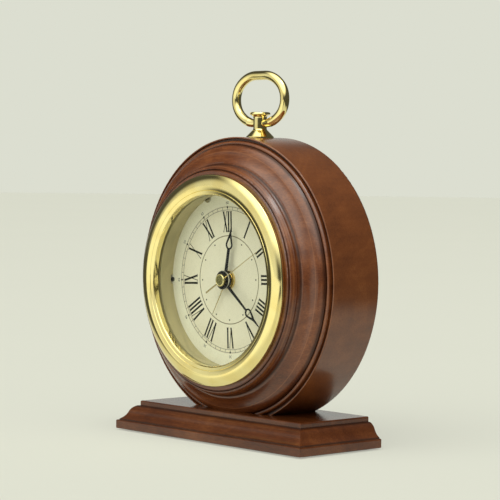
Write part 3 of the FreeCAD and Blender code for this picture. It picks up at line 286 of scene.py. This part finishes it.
def dial_print():
    """Cream enamel print, paler outside the minute track, with a faint mottle."""
    m = Shader("dial_cream", Roughness=0.55, Specular_IOR_Level=0.3)
    outer = m.span(m.radius(), OUTER_FROM, OUTER_FROM + OUTER_FADE)
    colour = m.blend(outer, CREAM, CREAM_OUTER)
    mottle = m.even_noise(900.0, 4.0)
    colour = m.blend(m.span(mottle, 0.4, 0.7, 0.0, 0.10), colour, (0.52, 0.48, 0.32))
    age = m.even_noise(35.0, 2.0)
    colour = m.blend(m.span(age, 0.4, 0.8, 0.0, 0.12), colour, (0.60, 0.52, 0.30))
    m.feed(Base_Color=colour)
    m.feed(Roughness=m.span(mottle, 0.3, 0.7, 0.48, 0.62))
    m.bump(mottle, 0.01 * MM, 0.4)
    return m.material


def ink(name, colour):
    """Screen-printed ink, thinner in places."""
    m = Shader(name, Specular_IOR_Level=0.12)
    thin = m.even_noise(2400.0)
    pale = tuple(c + 0.025 for c in colour)
    m.feed(Base_Color=m.blend(m.span(thin, 0.45, 0.8, 0.0, 0.7), colour, pale))
    m.feed(Roughness=m.span(thin, 0.3, 0.7, 0.45, 0.55))
    return m.material


# The radii, and the depths along Y, of the minute hand's turned hub edge, where a highlight is
# painted.
HUB_EDGE = (4.5 * MM, 4.82 * MM)
HUB_DEPTHS = (-16.40 * MM, -15.60 * MM)


def lacquered_black():
    """Black lacquer on the stamped hands. A pale, half-metallic ring on the minute hand's turned
    hub edge is a painted highlight.
    """
    m = Shader("hand_black", Coat_Weight=0.12, Coat_Roughness=0.12, Specular_IOR_Level=0.12)
    specks = m.even_noise(1800.0, 4.0)
    black = m.blend(m.span(specks, 0.66, 0.78), (0.007, 0.007, 0.008), (0.022, 0.022, 0.023))
    inside = []
    for value, (low, high) in ((m.radius(), HUB_EDGE), (m.along("Y"), HUB_DEPTHS)):
        away = m.math("ABSOLUTE", m.math("SUBTRACT", value, (low + high) / 2))
        inside.append(m.math("LESS_THAN", away, (high - low) / 2))
    # Painted highlight: a pale, half-metallic ring on the hub's turned edge.
    bare_rim_highlight = m.math("MULTIPLY", *inside)
    m.feed(Base_Color=m.blend(bare_rim_highlight, black, (0.62, 0.60, 0.52)))
    m.feed(Metallic=m.math("MULTIPLY", bare_rim_highlight, 0.5))
    m.feed(Roughness=m.span(specks, 0.3, 0.7, 0.24, 0.38))
    m.bump(specks, 0.004 * MM, 0.3)
    return m.material


def plastic(name, colour, roughness, grain=1400.0, depth=0.02):
    """Moulded plastic or matt lacquer: fine even texture, slight flow marks in the colour."""
    m = Shader(name)
    texture = m.even_noise(grain, 4.0)
    flow = m.noise(m.stretched((60.0, 90.0, 40.0)), 3.0, 1.2)
    shade = scaled(colour, 0.82)
    m.feed(Base_Color=m.blend(m.span(flow, 0.35, 0.7), colour, shade))
    m.feed(Roughness=m.span(texture, 0.3, 0.7, roughness * 0.85, roughness * 1.15))
    m.bump(texture, depth * MM, 0.6)
    return m.material


def felt_cloth():
    """Green felt: matted fibres that show as short crossing streaks."""
    m = Shader("felt_green", Roughness=0.95, Sheen_Weight=0.6, Specular_IOR_Level=0.1)
    one = m.noise(m.stretched((900.0, 4200.0, 4200.0), (0.0, 0.0, 25.0)), 3.0, 1.0)
    other = m.noise(m.stretched((4200.0, 900.0, 4200.0), (0.0, 0.0, 25.0)), 3.0, 1.0)
    mat = m.math("MAXIMUM", one, other)
    m.feed(Base_Color=m.ramp(mat, (0.40, (0.008, 0.030, 0.014)), (0.75, (0.045, 0.140, 0.070))))
    m.bump(mat, 0.12 * MM, 0.9)
    return m.material


GLARE = 0.002


def clear_glass():
    """Flat bloomed glass: it mirrors little unless seen at a slant, and is faintly hazed."""
    m = Shader("lens_clear")
    haze = m.even_noise(300.0, 4.0, 0.4)
    tint = m.blend(m.span(haze, 0.45, 0.8, 0.0, 0.4), (0.99, 1.0, 0.985), (0.955, 0.97, 0.95))
    through = m.node("ShaderNodeBsdfTransparent", {"Color": tint})
    mirrored = m.node("ShaderNodeBsdfGlossy", {"Roughness": m.span(haze, 0.3, 0.8, 0.01, 0.05)})
    slant = m.node("ShaderNodeLayerWeight", {"Blend": 0.5}).outputs["Facing"]
    share = m.math("MULTIPLY_ADD", m.math("POWER", slant, 5.0), 0.96, GLARE)
    both = m.node("ShaderNodeMixShader", {
        0: share, 1: through.outputs[0], 2: mirrored.outputs[0]})
    output = m.tree.nodes["Material Output"]
    m.tree.links.new(both.outputs[0], output.inputs["Surface"])
    m.tree.nodes.remove(m.principled)
    return m.material


def banded(name, letter, bands, **values):
    """Bands of colour along one axis; each is (start in metres, colour)."""
    m = Shader(name, **values)
    place = m.along(letter)
    colour = bands[0][1]
    for start, shade in bands[1:]:
        colour = m.blend(m.span(place, start - 0.02 * MM, start + 0.02 * MM), colour, shade)
    scuffs = m.noise(m.stretched((500.0, 2200.0, 2200.0)), 4.0)
    m.feed(Base_Color=m.blend(m.span(scuffs, 0.6, 0.8, 0.0, 0.35), colour, (0.30, 0.28, 0.26)))
    m.feed(Roughness=m.span(scuffs, 0.3, 0.7, 0.28, 0.42))
    return m


def battery_sleeve():
    """Plain printed sleeve: black body and a copper-coloured end, bare steel at the tips."""
    low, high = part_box("battery")
    tip = high.x - 1.1 * MM
    sleeve, copper_end = low.x + 0.7 * MM, tip - 13.0 * MM
    steel, black, copper = (0.55, 0.55, 0.56), (0.016, 0.016, 0.018), (0.50, 0.20, 0.075)
    m = banded("battery_bands", "X", (
        (low.x, steel), (sleeve, black), (copper_end, copper), (tip - 0.6 * MM, steel)),
        Coat_Weight=0.5, Coat_Roughness=0.1)
    inside = m.span(m.along("X"), sleeve, copper_end, 0.0, 1.0)
    m.feed(Metallic=m.span(inside, 0.02, 0.98, 0.9, 0.35))
    return m.material


def board_mask():
    """Green solder mask with copper tracks showing as paler lines."""
    m = Shader("board_mask", Roughness=0.35, Coat_Weight=0.4, Coat_Roughness=0.2)
    cells = m.node("ShaderNodeTexVoronoi", {
        "Vector": m.stretched((330.0, 330.0, 330.0)), "Scale": 1.0, "Randomness": 0.35},
        feature="DISTANCE_TO_EDGE", distance="EUCLIDEAN").outputs["Distance"]
    track = m.span(cells, 0.05, 0.09)
    cloud = m.even_noise(500.0)
    green = m.blend(cloud, (0.012, 0.085, 0.032), (0.022, 0.125, 0.050))
    m.feed(Base_Color=m.blend(track, (0.070, 0.220, 0.085), green))
    m.bump(track, 0.02 * MM, 0.5)
    return m.material


def make_materials():
    wood_origin = (0.02, 0.14, -0.31)
    return {
        "turned_wood": wood("wood_turned", True, wood_origin),
        "plinth_wood": wood("wood_plinth", False, (0.1, -0.2, -0.12), 0.70, 1.44, 0.17),
        "bezel_brass": polished_brass("brass_bezel", True, 0.09),
        "brass": polished_brass("brass_polished", False, 0.08),
        "gilt": polished_brass("gilt_thin", False, 0.22, (0.50, 0.42, 0.24)),
        "turned_brass": turned_metal("brass_turned", (0.86, 0.68, 0.30), 0.22),
        "cap": cap_metal(),
        "steel": turned_metal("steel_zinc", (0.62, 0.63, 0.65), 0.30),
        "nickel": turned_metal("nickel_plate", (0.58, 0.56, 0.50), 0.22),
        "copper": turned_metal("copper_enamel", (0.70, 0.27, 0.11), 0.24),
        "magnet": turned_metal("magnet_ferrite", (0.11, 0.11, 0.12), 0.55),
        "dial": dial_print(),
        "ink": ink("ink_black", (0.010, 0.010, 0.008)),
        "ink_brown": ink("ink_brown", (0.23, 0.20, 0.125)),
        "ink_grey": ink("ink_grey", (0.075, 0.072, 0.058)),
        "hand_black": lacquered_black(),
        "dull_gold": plastic("lacquer_dull_gold", (0.52, 0.45, 0.25), 0.50, 1200.0, 0.01),
        "black": plastic("plastic_black", (0.020, 0.020, 0.022), 0.48, 1700.0, 0.03),
        "white": plastic("plastic_white", (0.72, 0.71, 0.66), 0.38, 900.0, 0.01),
        "resin": plastic("resin_black", (0.008, 0.008, 0.008), 0.12, 300.0, 0.02),
        "rubber": plastic("rubber_black", (0.018, 0.018, 0.018), 0.75, 2600.0, 0.02),
        "felt": felt_cloth(),
        "glass": clear_glass(),
        "battery": battery_sleeve(),
        "board": board_mask(),
    }


NODE_LOOKS = {
    "turned_wood": ("case_drum", "front_moulding"),
    "plinth_wood": ("plinth",),
    "bezel_brass": ("bezel",),
    "brass": ("bow_handle", "handle_post"),
    "gilt": ("seconds_hand", "alarm_hand"),
    "turned_brass": ("centre_bush", "bush_nut", "cannon_pinion", "alarm_contact",
                     "buzzer_disc"),
    "cap": ("seconds_cap",),
    "steel": ("plinth_screws", "post_hanger_bolt", "stator", "coil_core"),
    "nickel": ("dial_screws", "quartz_crystal", "battery_contact_minus",
               "battery_contact_plus"),
    "copper": ("coil_winding",),
    "magnet": ("rotor",),
    "dial": ("dial",),
    "hand_black": ("hour_hand", "minute_hand"),
    "dull_gold": ("sight_ring",),
    "black": ("insert_can", "movement_front_housing", "movement_rear_housing", "dial_pegs",
              "movement_middle_plate"),
    "white": ("coil_bobbin", "idler_wheel", "seconds_wheel", "third_wheel", "centre_wheel",
              "minute_wheel", "hour_wheel", "alarm_wheel", "time_set_knob", "alarm_set_knob",
              "alarm_switch"),
    "resin": ("control_chip",),
    "rubber": ("fit_ring",),
    "felt": ("base_felt",),
    "glass": ("lens",),
    "battery": ("battery",),
    "board": ("circuit_board",),
}


def paint_nodes(looks):
    """Puts each look on its nodes."""
    for look, names in NODE_LOOKS.items():
        for name in names:
            for slot in frame["nodes"][name].material_slots:
                slot.material = looks[look]


# ---- mesh helpers ------------------------------------------------------------------------------
DISC_SIDES = 20
BAND_SIDES = 240


def on_dial(u, w, y):
    """A point from offsets right and up of the dial's centre."""
    return Vector((u, y, AXIS_Z + w))


def prism(bm, points, y0, y1):
    """A closed flat prism from a ring of (u, w) points."""
    front = [bm.verts.new(on_dial(u, w, y0)) for u, w in points]
    back = [bm.verts.new(on_dial(u, w, y1)) for u, w in points]
    bm.faces.new(front)
    bm.faces.new(list(reversed(back)))
    for k in range(len(points)):
        j = (k + 1) % len(points)
        bm.faces.new((front[j], front[k], back[k], back[j]))


def disc(bm, u, w, r, y0, y1):
    turn = 2 * math.pi / DISC_SIDES
    prism(bm, [(u + r * math.cos(k * turn), w + r * math.sin(k * turn))
               for k in range(DISC_SIDES)], y0, y1)


def band(bm, r0, r1, y0, y1):
    """A flat closed ring about the dial's axis."""
    loops = []
    for k in range(BAND_SIDES):
        a = 2 * math.pi * k / BAND_SIDES
        loops.append([bm.verts.new(on_dial(r * math.cos(a), r * math.sin(a), y))
                      for r, y in ((r0, y0), (r1, y0), (r1, y1), (r0, y1))])
    for k in range(BAND_SIDES):
        here, there = loops[k], loops[(k + 1) % BAND_SIDES]
        for i in range(4):
            j = (i + 1) % 4
            bm.faces.new((here[i], here[j], there[j], there[i]))


def piece(name, bm, material, body, smooth=False):
    """Turns a bmesh into a named piece that rides on a body."""
    bmesh.ops.recalc_face_normals(bm, faces=bm.faces)
    mesh = bpy.data.meshes.new(name)
    bm.to_mesh(mesh)
    bm.free()
    mesh.materials.append(material)
    for polygon in mesh.polygons:
        polygon.use_smooth = smooth
    made = bpy.data.objects.new(name, mesh)
    bpy.context.scene.collection.objects.link(made)
    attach(made, body)
    return made


# ---- dial print --------------------------------------------------------------------------------
# The dial is fitted a little anticlockwise, so its print is turned by this many degrees.
PRINT_TURN = -2.6
INK_T = 0.02 * MM
INK_FRONT = DIAL_FRONT - INK_T
INK_BACK = DIAL_FRONT + 0.005 * MM
NUMERAL_FOOT = 24.4 * MM
NUMERAL_TOP = 35.0 * MM
THICK = 1.05 * MM
THIN = 0.36 * MM
STEM_ADVANCE = 1.95 * MM
WIDE_ADVANCE = 3.30 * MM
SERIF_T = 0.22 * MM
SERIF_OUT = 0.30 * MM
ROMAN = ("XII", "I", "II", "III", "IIII", "V", "VI", "VII", "VIII", "IX", "X", "XI")


def turned_point(u, w, degrees):
    """(u, w) turned clockwise as the dial is read, with the turn of the whole print."""
    a = math.radians(degrees + PRINT_TURN)
    return u * math.cos(a) + w * math.sin(a), w * math.cos(a) - u * math.sin(a)


def printed(bm, points, degrees, front=INK_FRONT):
    """A flat printed shape from (u, w) points above the centre, turned to its place."""
    prism(bm, [turned_point(u, w, degrees) for u, w in points], front, INK_BACK)


def letter_strokes(letter, x):
    """Strokes of one Roman letter as (foot x, head x, width), and its advance."""
    if letter == "I":
        return [(x + STEM_ADVANCE / 2, x + STEM_ADVANCE / 2, THICK)], STEM_ADVANCE
    left, right = x + 0.45 * MM, x + WIDE_ADVANCE - 0.35 * MM
    if letter == "V":
        middle = (left + right) / 2
        return [(middle, left, THICK), (middle, right, THIN)], WIDE_ADVANCE
    return [(right, left, THICK), (left, right, THIN)], WIDE_ADVANCE


def add_numeral(bm, text, degrees):
    """One Roman numeral with its feet towards the centre."""
    strokes, x = [], 0.0
    for letter in text:
        more, advance = letter_strokes(letter, x)
        strokes += more
        x += advance
    shift = -x / 2
    for foot, head, width in strokes:
        half = width / 2
        foot, head = foot + shift, head + shift
        printed(bm, [(foot - half, NUMERAL_FOOT), (foot + half, NUMERAL_FOOT),
                     (head + half, NUMERAL_TOP), (head - half, NUMERAL_TOP)], degrees)
        ends = [(head, NUMERAL_TOP - SERIF_T)]
        if width == THIN or text.count("V") == 0 or foot == head:
            ends.append((foot, NUMERAL_FOOT))
        for place, w0 in ends:
            left, right = place - half - SERIF_OUT, place + half + SERIF_OUT
            printed(bm, [(left, w0), (right, w0), (right, w0 + SERIF_T), (left, w0 + SERIF_T)],
                    degrees)


TRACK_INNER = 35.7 * MM
TRACK_OUTER = 37.3 * MM
TRACK_LINE = 0.20 * MM
MARK_R = 37.1 * MM
MARK_HALF = 0.62 * MM
MARK_TALL = 1.25 * MARK_HALF
HOUR_DOT_R = 20.5 * MM
HOUR_DOT_SIZE = 0.42 * MM
CHAPTER_R = 22.55 * MM
CHAPTER_LINE = 0.48 * MM
FIGURE_R = 39.3 * MM
FIGURE_H = 2.1 * MM


def dial_numerals(looks):
    """The twelve Roman numerals."""
    bm = bmesh.new()
    for hour, text in enumerate(ROMAN):
        add_numeral(bm, text, 30.0 * hour)
    return piece("dial_numerals", bm, looks["ink"], "case")


def dial_track(looks):
    """Two thin circles with a tick at each minute between them."""
    bm = bmesh.new()
    for r in (TRACK_INNER, TRACK_OUTER):
        band(bm, r - TRACK_LINE / 2, r + TRACK_LINE / 2, INK_FRONT, INK_BACK)
    half = TRACK_LINE / 2
    for minute in range(60):
        printed(bm, [(-half, TRACK_INNER), (half, TRACK_INNER), (half, TRACK_OUTER),
                     (-half, TRACK_OUTER)], 6.0 * minute)
    return piece("dial_minute_track", bm, looks["ink_grey"], "case")


def dial_marks(looks):
    """A diamond on the track at each five minutes, and a dot inside each hour."""
    bm = bmesh.new()
    for hour in range(12):
        printed(bm, [(-MARK_HALF, MARK_R), (0.0, MARK_R - MARK_TALL), (MARK_HALF, MARK_R),
                     (0.0, MARK_R + MARK_TALL)], 30.0 * hour, INK_FRONT - INK_T / 2)
        u, w = turned_point(0.0, HOUR_DOT_R, 30.0 * hour)
        disc(bm, u, w, HOUR_DOT_SIZE, INK_FRONT, INK_BACK)
    return piece("dial_hour_marks", bm, looks["ink"], "case")


def dial_chapter(looks):
    """The brown circle inside the numerals."""
    bm = bmesh.new()
    band(bm, CHAPTER_R - CHAPTER_LINE / 2, CHAPTER_R + CHAPTER_LINE / 2, INK_FRONT, INK_BACK)
    return piece("dial_chapter_ring", bm, looks["ink_brown"], "case")


def text_mesh(text, size, depth):
    """The outline of plain figures as a mesh, lying in the XY plane and centred."""
    curve = bpy.data.curves.new("figure", "FONT")
    curve.body = text
    curve.size = size
    curve.extrude = depth / 2
    curve.align_x = "CENTER"
    curve.align_y = "CENTER"
    shown = bpy.data.objects.new("figure", curve)
    bpy.context.scene.collection.objects.link(shown)
    bpy.context.view_layer.update()
    mesh = bpy.data.meshes.new_from_object(shown.evaluated_get(
        bpy.context.evaluated_depsgraph_get()))
    bpy.data.objects.remove(shown)
    bpy.data.curves.remove(curve)
    return mesh


def dial_figures(looks):
    """Small minute figures outside the track, with their feet towards the centre."""
    bm = bmesh.new()
    for hour in range(12):
        mesh = text_mesh(str(5 * hour or 60), FIGURE_H, INK_T)
        u, w = turned_point(0.0, FIGURE_R, 30.0 * hour)
        stand = Matrix.Rotation(math.pi / 2, 4, "X")
        turn = Matrix.Rotation(math.radians(30.0 * hour + PRINT_TURN), 4, "Y")
        place = Matrix.Translation(on_dial(u, w, INK_FRONT + INK_T / 2))
        mesh.transform(place @ turn @ stand)
        bm.from_mesh(mesh)
        bpy.data.meshes.remove(mesh)
    return piece("dial_minute_figures", bm, looks["ink_grey"], "case")


# ---- felt --------------------------------------------------------------------------------------
FELT_CORNER = 3.0 * MM
FELT_INSET = 0.15 * MM
FELT_ACROSS, FELT_DEEP = 90, 34
EDGE_SOFT, FACE_SOFT = 0.22, 0.02


def felt_spot(i, j, z, width, depth):
    """A point of the sheet's grid, with the outline's corners rounded."""
    x = (i / FELT_ACROSS - 0.5) * (width - 2 * FELT_INSET)
    y = (j / FELT_DEEP - 0.5) * (depth - 2 * FELT_INSET)
    corner_x = width / 2 - FELT_INSET - FELT_CORNER
    corner_y = depth / 2 - FELT_INSET - FELT_CORNER
    over_x, over_y = abs(x) - corner_x, abs(y) - corner_y
    if over_x > 0 and over_y > 0:
        pull = min(1.0, max(over_x, over_y) / math.hypot(over_x, over_y))
        x = math.copysign(corner_x + over_x * pull, x)
        y = math.copysign(corner_y + over_y * pull, y)
    return Vector((x, y, z))


def felt_faces(bm, rng, low, high):
    """The sheet's two faces, slightly uneven. Returns their vertices by (side, i, j)."""
    width, depth, thick = (high[k] - low[k] for k in range(3))
    spots = {}
    for side, z, inward in (("low", low.z, 1.0), ("high", high.z, -1.0)):
        for i in range(FELT_ACROSS + 1):
            for j in range(FELT_DEEP + 1):
                p = felt_spot(i, j, z, width, depth)
                edge = i in (0, FELT_ACROSS) or j in (0, FELT_DEEP)
                soft = EDGE_SOFT * thick if edge else FACE_SOFT * thick * rng.random()
                p.z += inward * soft
                spots[side, i, j] = bm.verts.new(p)
    for i in range(FELT_ACROSS):
        for j in range(FELT_DEEP):
            for side in ("low", "high"):
                bm.faces.new([spots[side, i + a, j + b]
                              for a, b in ((0, 0), (1, 0), (1, 1), (0, 1))])
    return spots


def felt_rim(bm, rng, spots, width, depth):
    """Closes the sheet round a slightly wavy middle line."""
    rim = [(i, 0) for i in range(FELT_ACROSS)] + [(FELT_ACROSS, j) for j in range(FELT_DEEP)]
    rim += [(i, FELT_DEEP) for i in range(FELT_ACROSS, 0, -1)]
    rim += [(0, j) for j in range(FELT_DEEP, 0, -1)]
    middle = []
    for i, j in rim:
        p = (spots["low", i, j].co + spots["high", i, j].co) / 2
        out = Vector((p.x / width, p.y / depth, 0.0)).normalized()
        middle.append(bm.verts.new(p + out * (0.10 + 0.05 * rng.random()) * MM))
    for k in range(len(rim)):
        n = (k + 1) % len(rim)
        for side in ("low", "high"):
            bm.faces.new((spots[(side, *rim[k])], spots[(side, *rim[n])], middle[n], middle[k]))


def felt_sheet(looks):
    """Cut felt: soft rounded edges, slightly wavy outline and a matted surface."""
    rng = random.Random(7)
    low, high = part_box("base_felt")
    width, depth = high.x - low.x, high.y - low.y
    bm = bmesh.new()
    spots = felt_faces(bm, rng, low, high)
    felt_rim(bm, rng, spots, width, depth)
    sheet = piece("felt_sheet", bm, looks["felt"], "case", True)
    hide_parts("base_felt")
    return sheet


# ---- light, floor and camera -------------------------------------------------------------------
CAMERA_AZIMUTH = 47.87
CAMERA_ELEVATION = 2.33
CAMERA_ROLL = 0.62
CAMERA_DISTANCE = 1.06765
CAMERA_LENS = 148.7
LOOK_AT = Vector((0.0, 8.5 * MM, 97.53 * MM))
LOOK_ASIDE = -4.5 * MM


def make_camera():
    """The main view. Its azimuth is counted from straight ahead."""
    a = math.radians(CAMERA_AZIMUTH)
    e = math.radians(CAMERA_ELEVATION)
    roll = math.radians(CAMERA_ROLL)
    back = Vector((math.sin(a) * math.cos(e), -math.cos(a) * math.cos(e), math.sin(e)))
    right = Vector((math.cos(a), math.sin(a), 0.0))
    up = back.cross(right)
    target = LOOK_AT + LOOK_ASIDE * right
    turned_right = math.cos(roll) * right + math.sin(roll) * up
    turned_up = math.cos(roll) * up - math.sin(roll) * right
    data = bpy.data.cameras.new("camera")
    data.sensor_width = 36.0
    data.lens = CAMERA_LENS
    camera = bpy.data.objects.new("camera", data)
    turn = Matrix((turned_right, turned_up, back)).transposed().to_4x4()
    camera.matrix_world = Matrix.Translation(target + back * CAMERA_DISTANCE) @ turn
    bpy.context.scene.collection.objects.link(camera)
    bpy.context.scene.camera = camera


def softbox(name, direction, distance, width, height, power):
    """A rectangular lamp that faces the clock from a direction."""
    data = bpy.data.lights.new(name, "AREA")
    data.shape = "RECTANGLE"
    data.size, data.size_y = width, height
    data.energy = power
    lamp = bpy.data.objects.new(name, data)
    towards = Vector(direction).normalized()
    lamp.location = Vector((0.0, 0.0, AXIS_Z)) + towards * distance
    lamp.rotation_mode = "QUATERNION"
    lamp.rotation_quaternion = towards.to_track_quat("Z", "Y")
    bpy.context.scene.collection.objects.link(lamp)


# The wall as the camera sees it, and the light of the room itself.
PALE = (0.715, 0.730, 0.632)
ROOM_TINT = (0.98, 1.0, 0.92)
# Each glow is a direction, the half angles in degrees where it starts and where it is full, and
# its brightness: the large overhead diffuser, the pale wall at the back left, and a pale screen.
GLOWS = (
    ((0.22, -0.42, 0.88), 58.0, 22.0, 2.25),
    ((-0.75, 0.66, 0.02), 30.0, 5.0, 0.50),
    ((-0.45, -0.88, 0.12), 42.0, 15.0, 0.75),
)
AMBIENT = 0.08


def make_world():
    """A dim room with a few soft glows. The camera itself sees it evenly pale."""
    world = bpy.data.worlds.new("room")
    bpy.context.scene.world = world
    world.use_nodes = True
    tree = world.node_tree
    tree.nodes.clear()

    def node(kind, inputs=None, **settings):
        return add_node(tree, kind, inputs, **settings)

    direction = node("ShaderNodeTexCoord").outputs["Generated"]
    strength = AMBIENT
    for towards, start, full, brightness in GLOWS:
        unit = Vector(towards).normalized()
        dot = node("ShaderNodeVectorMath", {0: direction, 1: unit}, operation="DOT_PRODUCT")
        glow = node("ShaderNodeMapRange", {
            "Value": dot.outputs["Value"], "From Min": math.cos(math.radians(start)),
            "From Max": math.cos(math.radians(full)), "To Min": 0.0, "To Max": brightness},
            interpolation_type="SMOOTHSTEP").outputs[0]
        strength = node("ShaderNodeMath", {0: glow, 1: strength}, operation="ADD").outputs[0]
    lit = node("ShaderNodeBackground", {"Color": (*ROOM_TINT, 1.0), "Strength": strength})
    seen = node("ShaderNodeBackground", {"Color": (*PALE, 1.0), "Strength": 1.0})
    camera_ray = node("ShaderNodeLightPath").outputs["Is Camera Ray"]
    both = node("ShaderNodeMixShader", {0: camera_ray, 1: lit.outputs[0], 2: seen.outputs[0]})
    output = node("ShaderNodeOutputWorld")
    tree.links.new(both.outputs[0], output.inputs["Surface"])


FLOOR_RADIUS = 9.0
FLOOR_DROP = 0.02 * MM
FLOOR_CARD = (0.30, 0.305, 0.266)
FLOOR_LIT = (0.385, 0.385, 0.335)
FLOOR_DIM = 0.1
# The distances in metres over which the bright patch under the clock fades out.
FLOOR_NEAR = (0.22, 0.42)
# The strip behind the clock, seen from the camera: its half width, spread and least half width.
STRIP_HALF, STRIP_SPREAD, STRIP_LEAST = 0.16, 0.13, 0.02
# The wedge in front: its azimuth, the cosines over which it starts, and where it turns brighter.
FRONT_AZIMUTH = math.radians(-15.0)
FLOOR_FRONT = (0.76, 0.87)
FLOOR_PAST = (0.08, 0.24)
FRONT_GAIN = 2.0


def make_floor():
    """A plain pale back-lit table top. What the clock mirrors of it is brighter in front, where
    the lamps are, and fades out into the dim room to the left and behind on the right."""
    m = Shader("floor_pale", Roughness=0.6, Specular_IOR_Level=0.0, Emission_Strength=1.0)
    a = math.radians(CAMERA_AZIMUTH)
    x, y = m.along("X"), m.along("Y")
    behind = m.math("MULTIPLY_ADD", y, math.cos(a), m.math("MULTIPLY", x, -math.sin(a)))
    aside = m.math("MULTIPLY_ADD", y, math.sin(a), m.math("MULTIPLY", x, math.cos(a)))
    width = m.math("MAXIMUM", m.math("MULTIPLY_ADD", behind, STRIP_SPREAD, STRIP_HALF),
                   STRIP_LEAST)
    backdrop = m.span(m.math("DIVIDE", m.math("ABSOLUTE", aside), width), 1.0, 2.0, 1.0, 0.0)
    reach = m.math("SQRT", m.math("MULTIPLY_ADD", x, x, m.math("MULTIPLY", y, y)))
    near = m.span(reach, *FLOOR_NEAR, 1.0, 0.0)
    ahead = m.math("MULTIPLY_ADD", y, -math.cos(FRONT_AZIMUTH),
                   m.math("MULTIPLY", x, math.sin(FRONT_AZIMUTH)))
    front = m.span(m.math("DIVIDE", ahead, m.math("ADD", reach, 0.01)), *FLOOR_FRONT)
    seen = m.node("ShaderNodeLightPath").outputs["Is Camera Ray"]
    lit = m.math("MAXIMUM", m.math("MAXIMUM", backdrop, near), m.math("MAXIMUM", front, seen))
    past = m.math("MULTIPLY", front, m.span(reach, *FLOOR_PAST))
    past = m.math("MULTIPLY", past, m.math("SUBTRACT", 1.0, seen))
    cloud = m.even_noise(3.0, 2.0)
    card = m.blend(cloud, scaled(FLOOR_CARD, 0.98), scaled(FLOOR_CARD, 1.02))
    m.feed(Base_Color=m.blend(lit, scaled(FLOOR_CARD, FLOOR_DIM), card))
    glow = m.blend(lit, scaled(FLOOR_LIT, FLOOR_DIM), FLOOR_LIT)
    m.feed(Emission_Color=m.blend(past, glow, scaled(FLOOR_LIT, FRONT_GAIN)))
    bm = bmesh.new()
    bmesh.ops.create_circle(bm, cap_ends=True, segments=96, radius=FLOOR_RADIUS)
    mesh = bpy.data.meshes.new("floor")
    bm.to_mesh(mesh)
    bm.free()
    mesh.materials.append(m.material)
    floor = bpy.data.objects.new("floor", mesh)
    floor.location.z = -FLOOR_DROP
    bpy.context.scene.collection.objects.link(floor)


def make_stage():
    """Camera, room, table top and the one lamp."""
    make_camera()
    make_world()
    make_floor()
    softbox("key", direction=(0.30, -0.05, 0.95), distance=4.0, width=1.6, height=1.2,
            power=30.0)
    bpy.context.scene.view_settings.view_transform = "Standard"


def main():
    make_stage()
    looks = make_materials()
    paint_nodes(looks)
    dial_numerals(looks)
    dial_track(looks)
    dial_marks(looks)
    dial_chapter(looks)
    dial_figures(looks)
    felt_sheet(looks)


main()
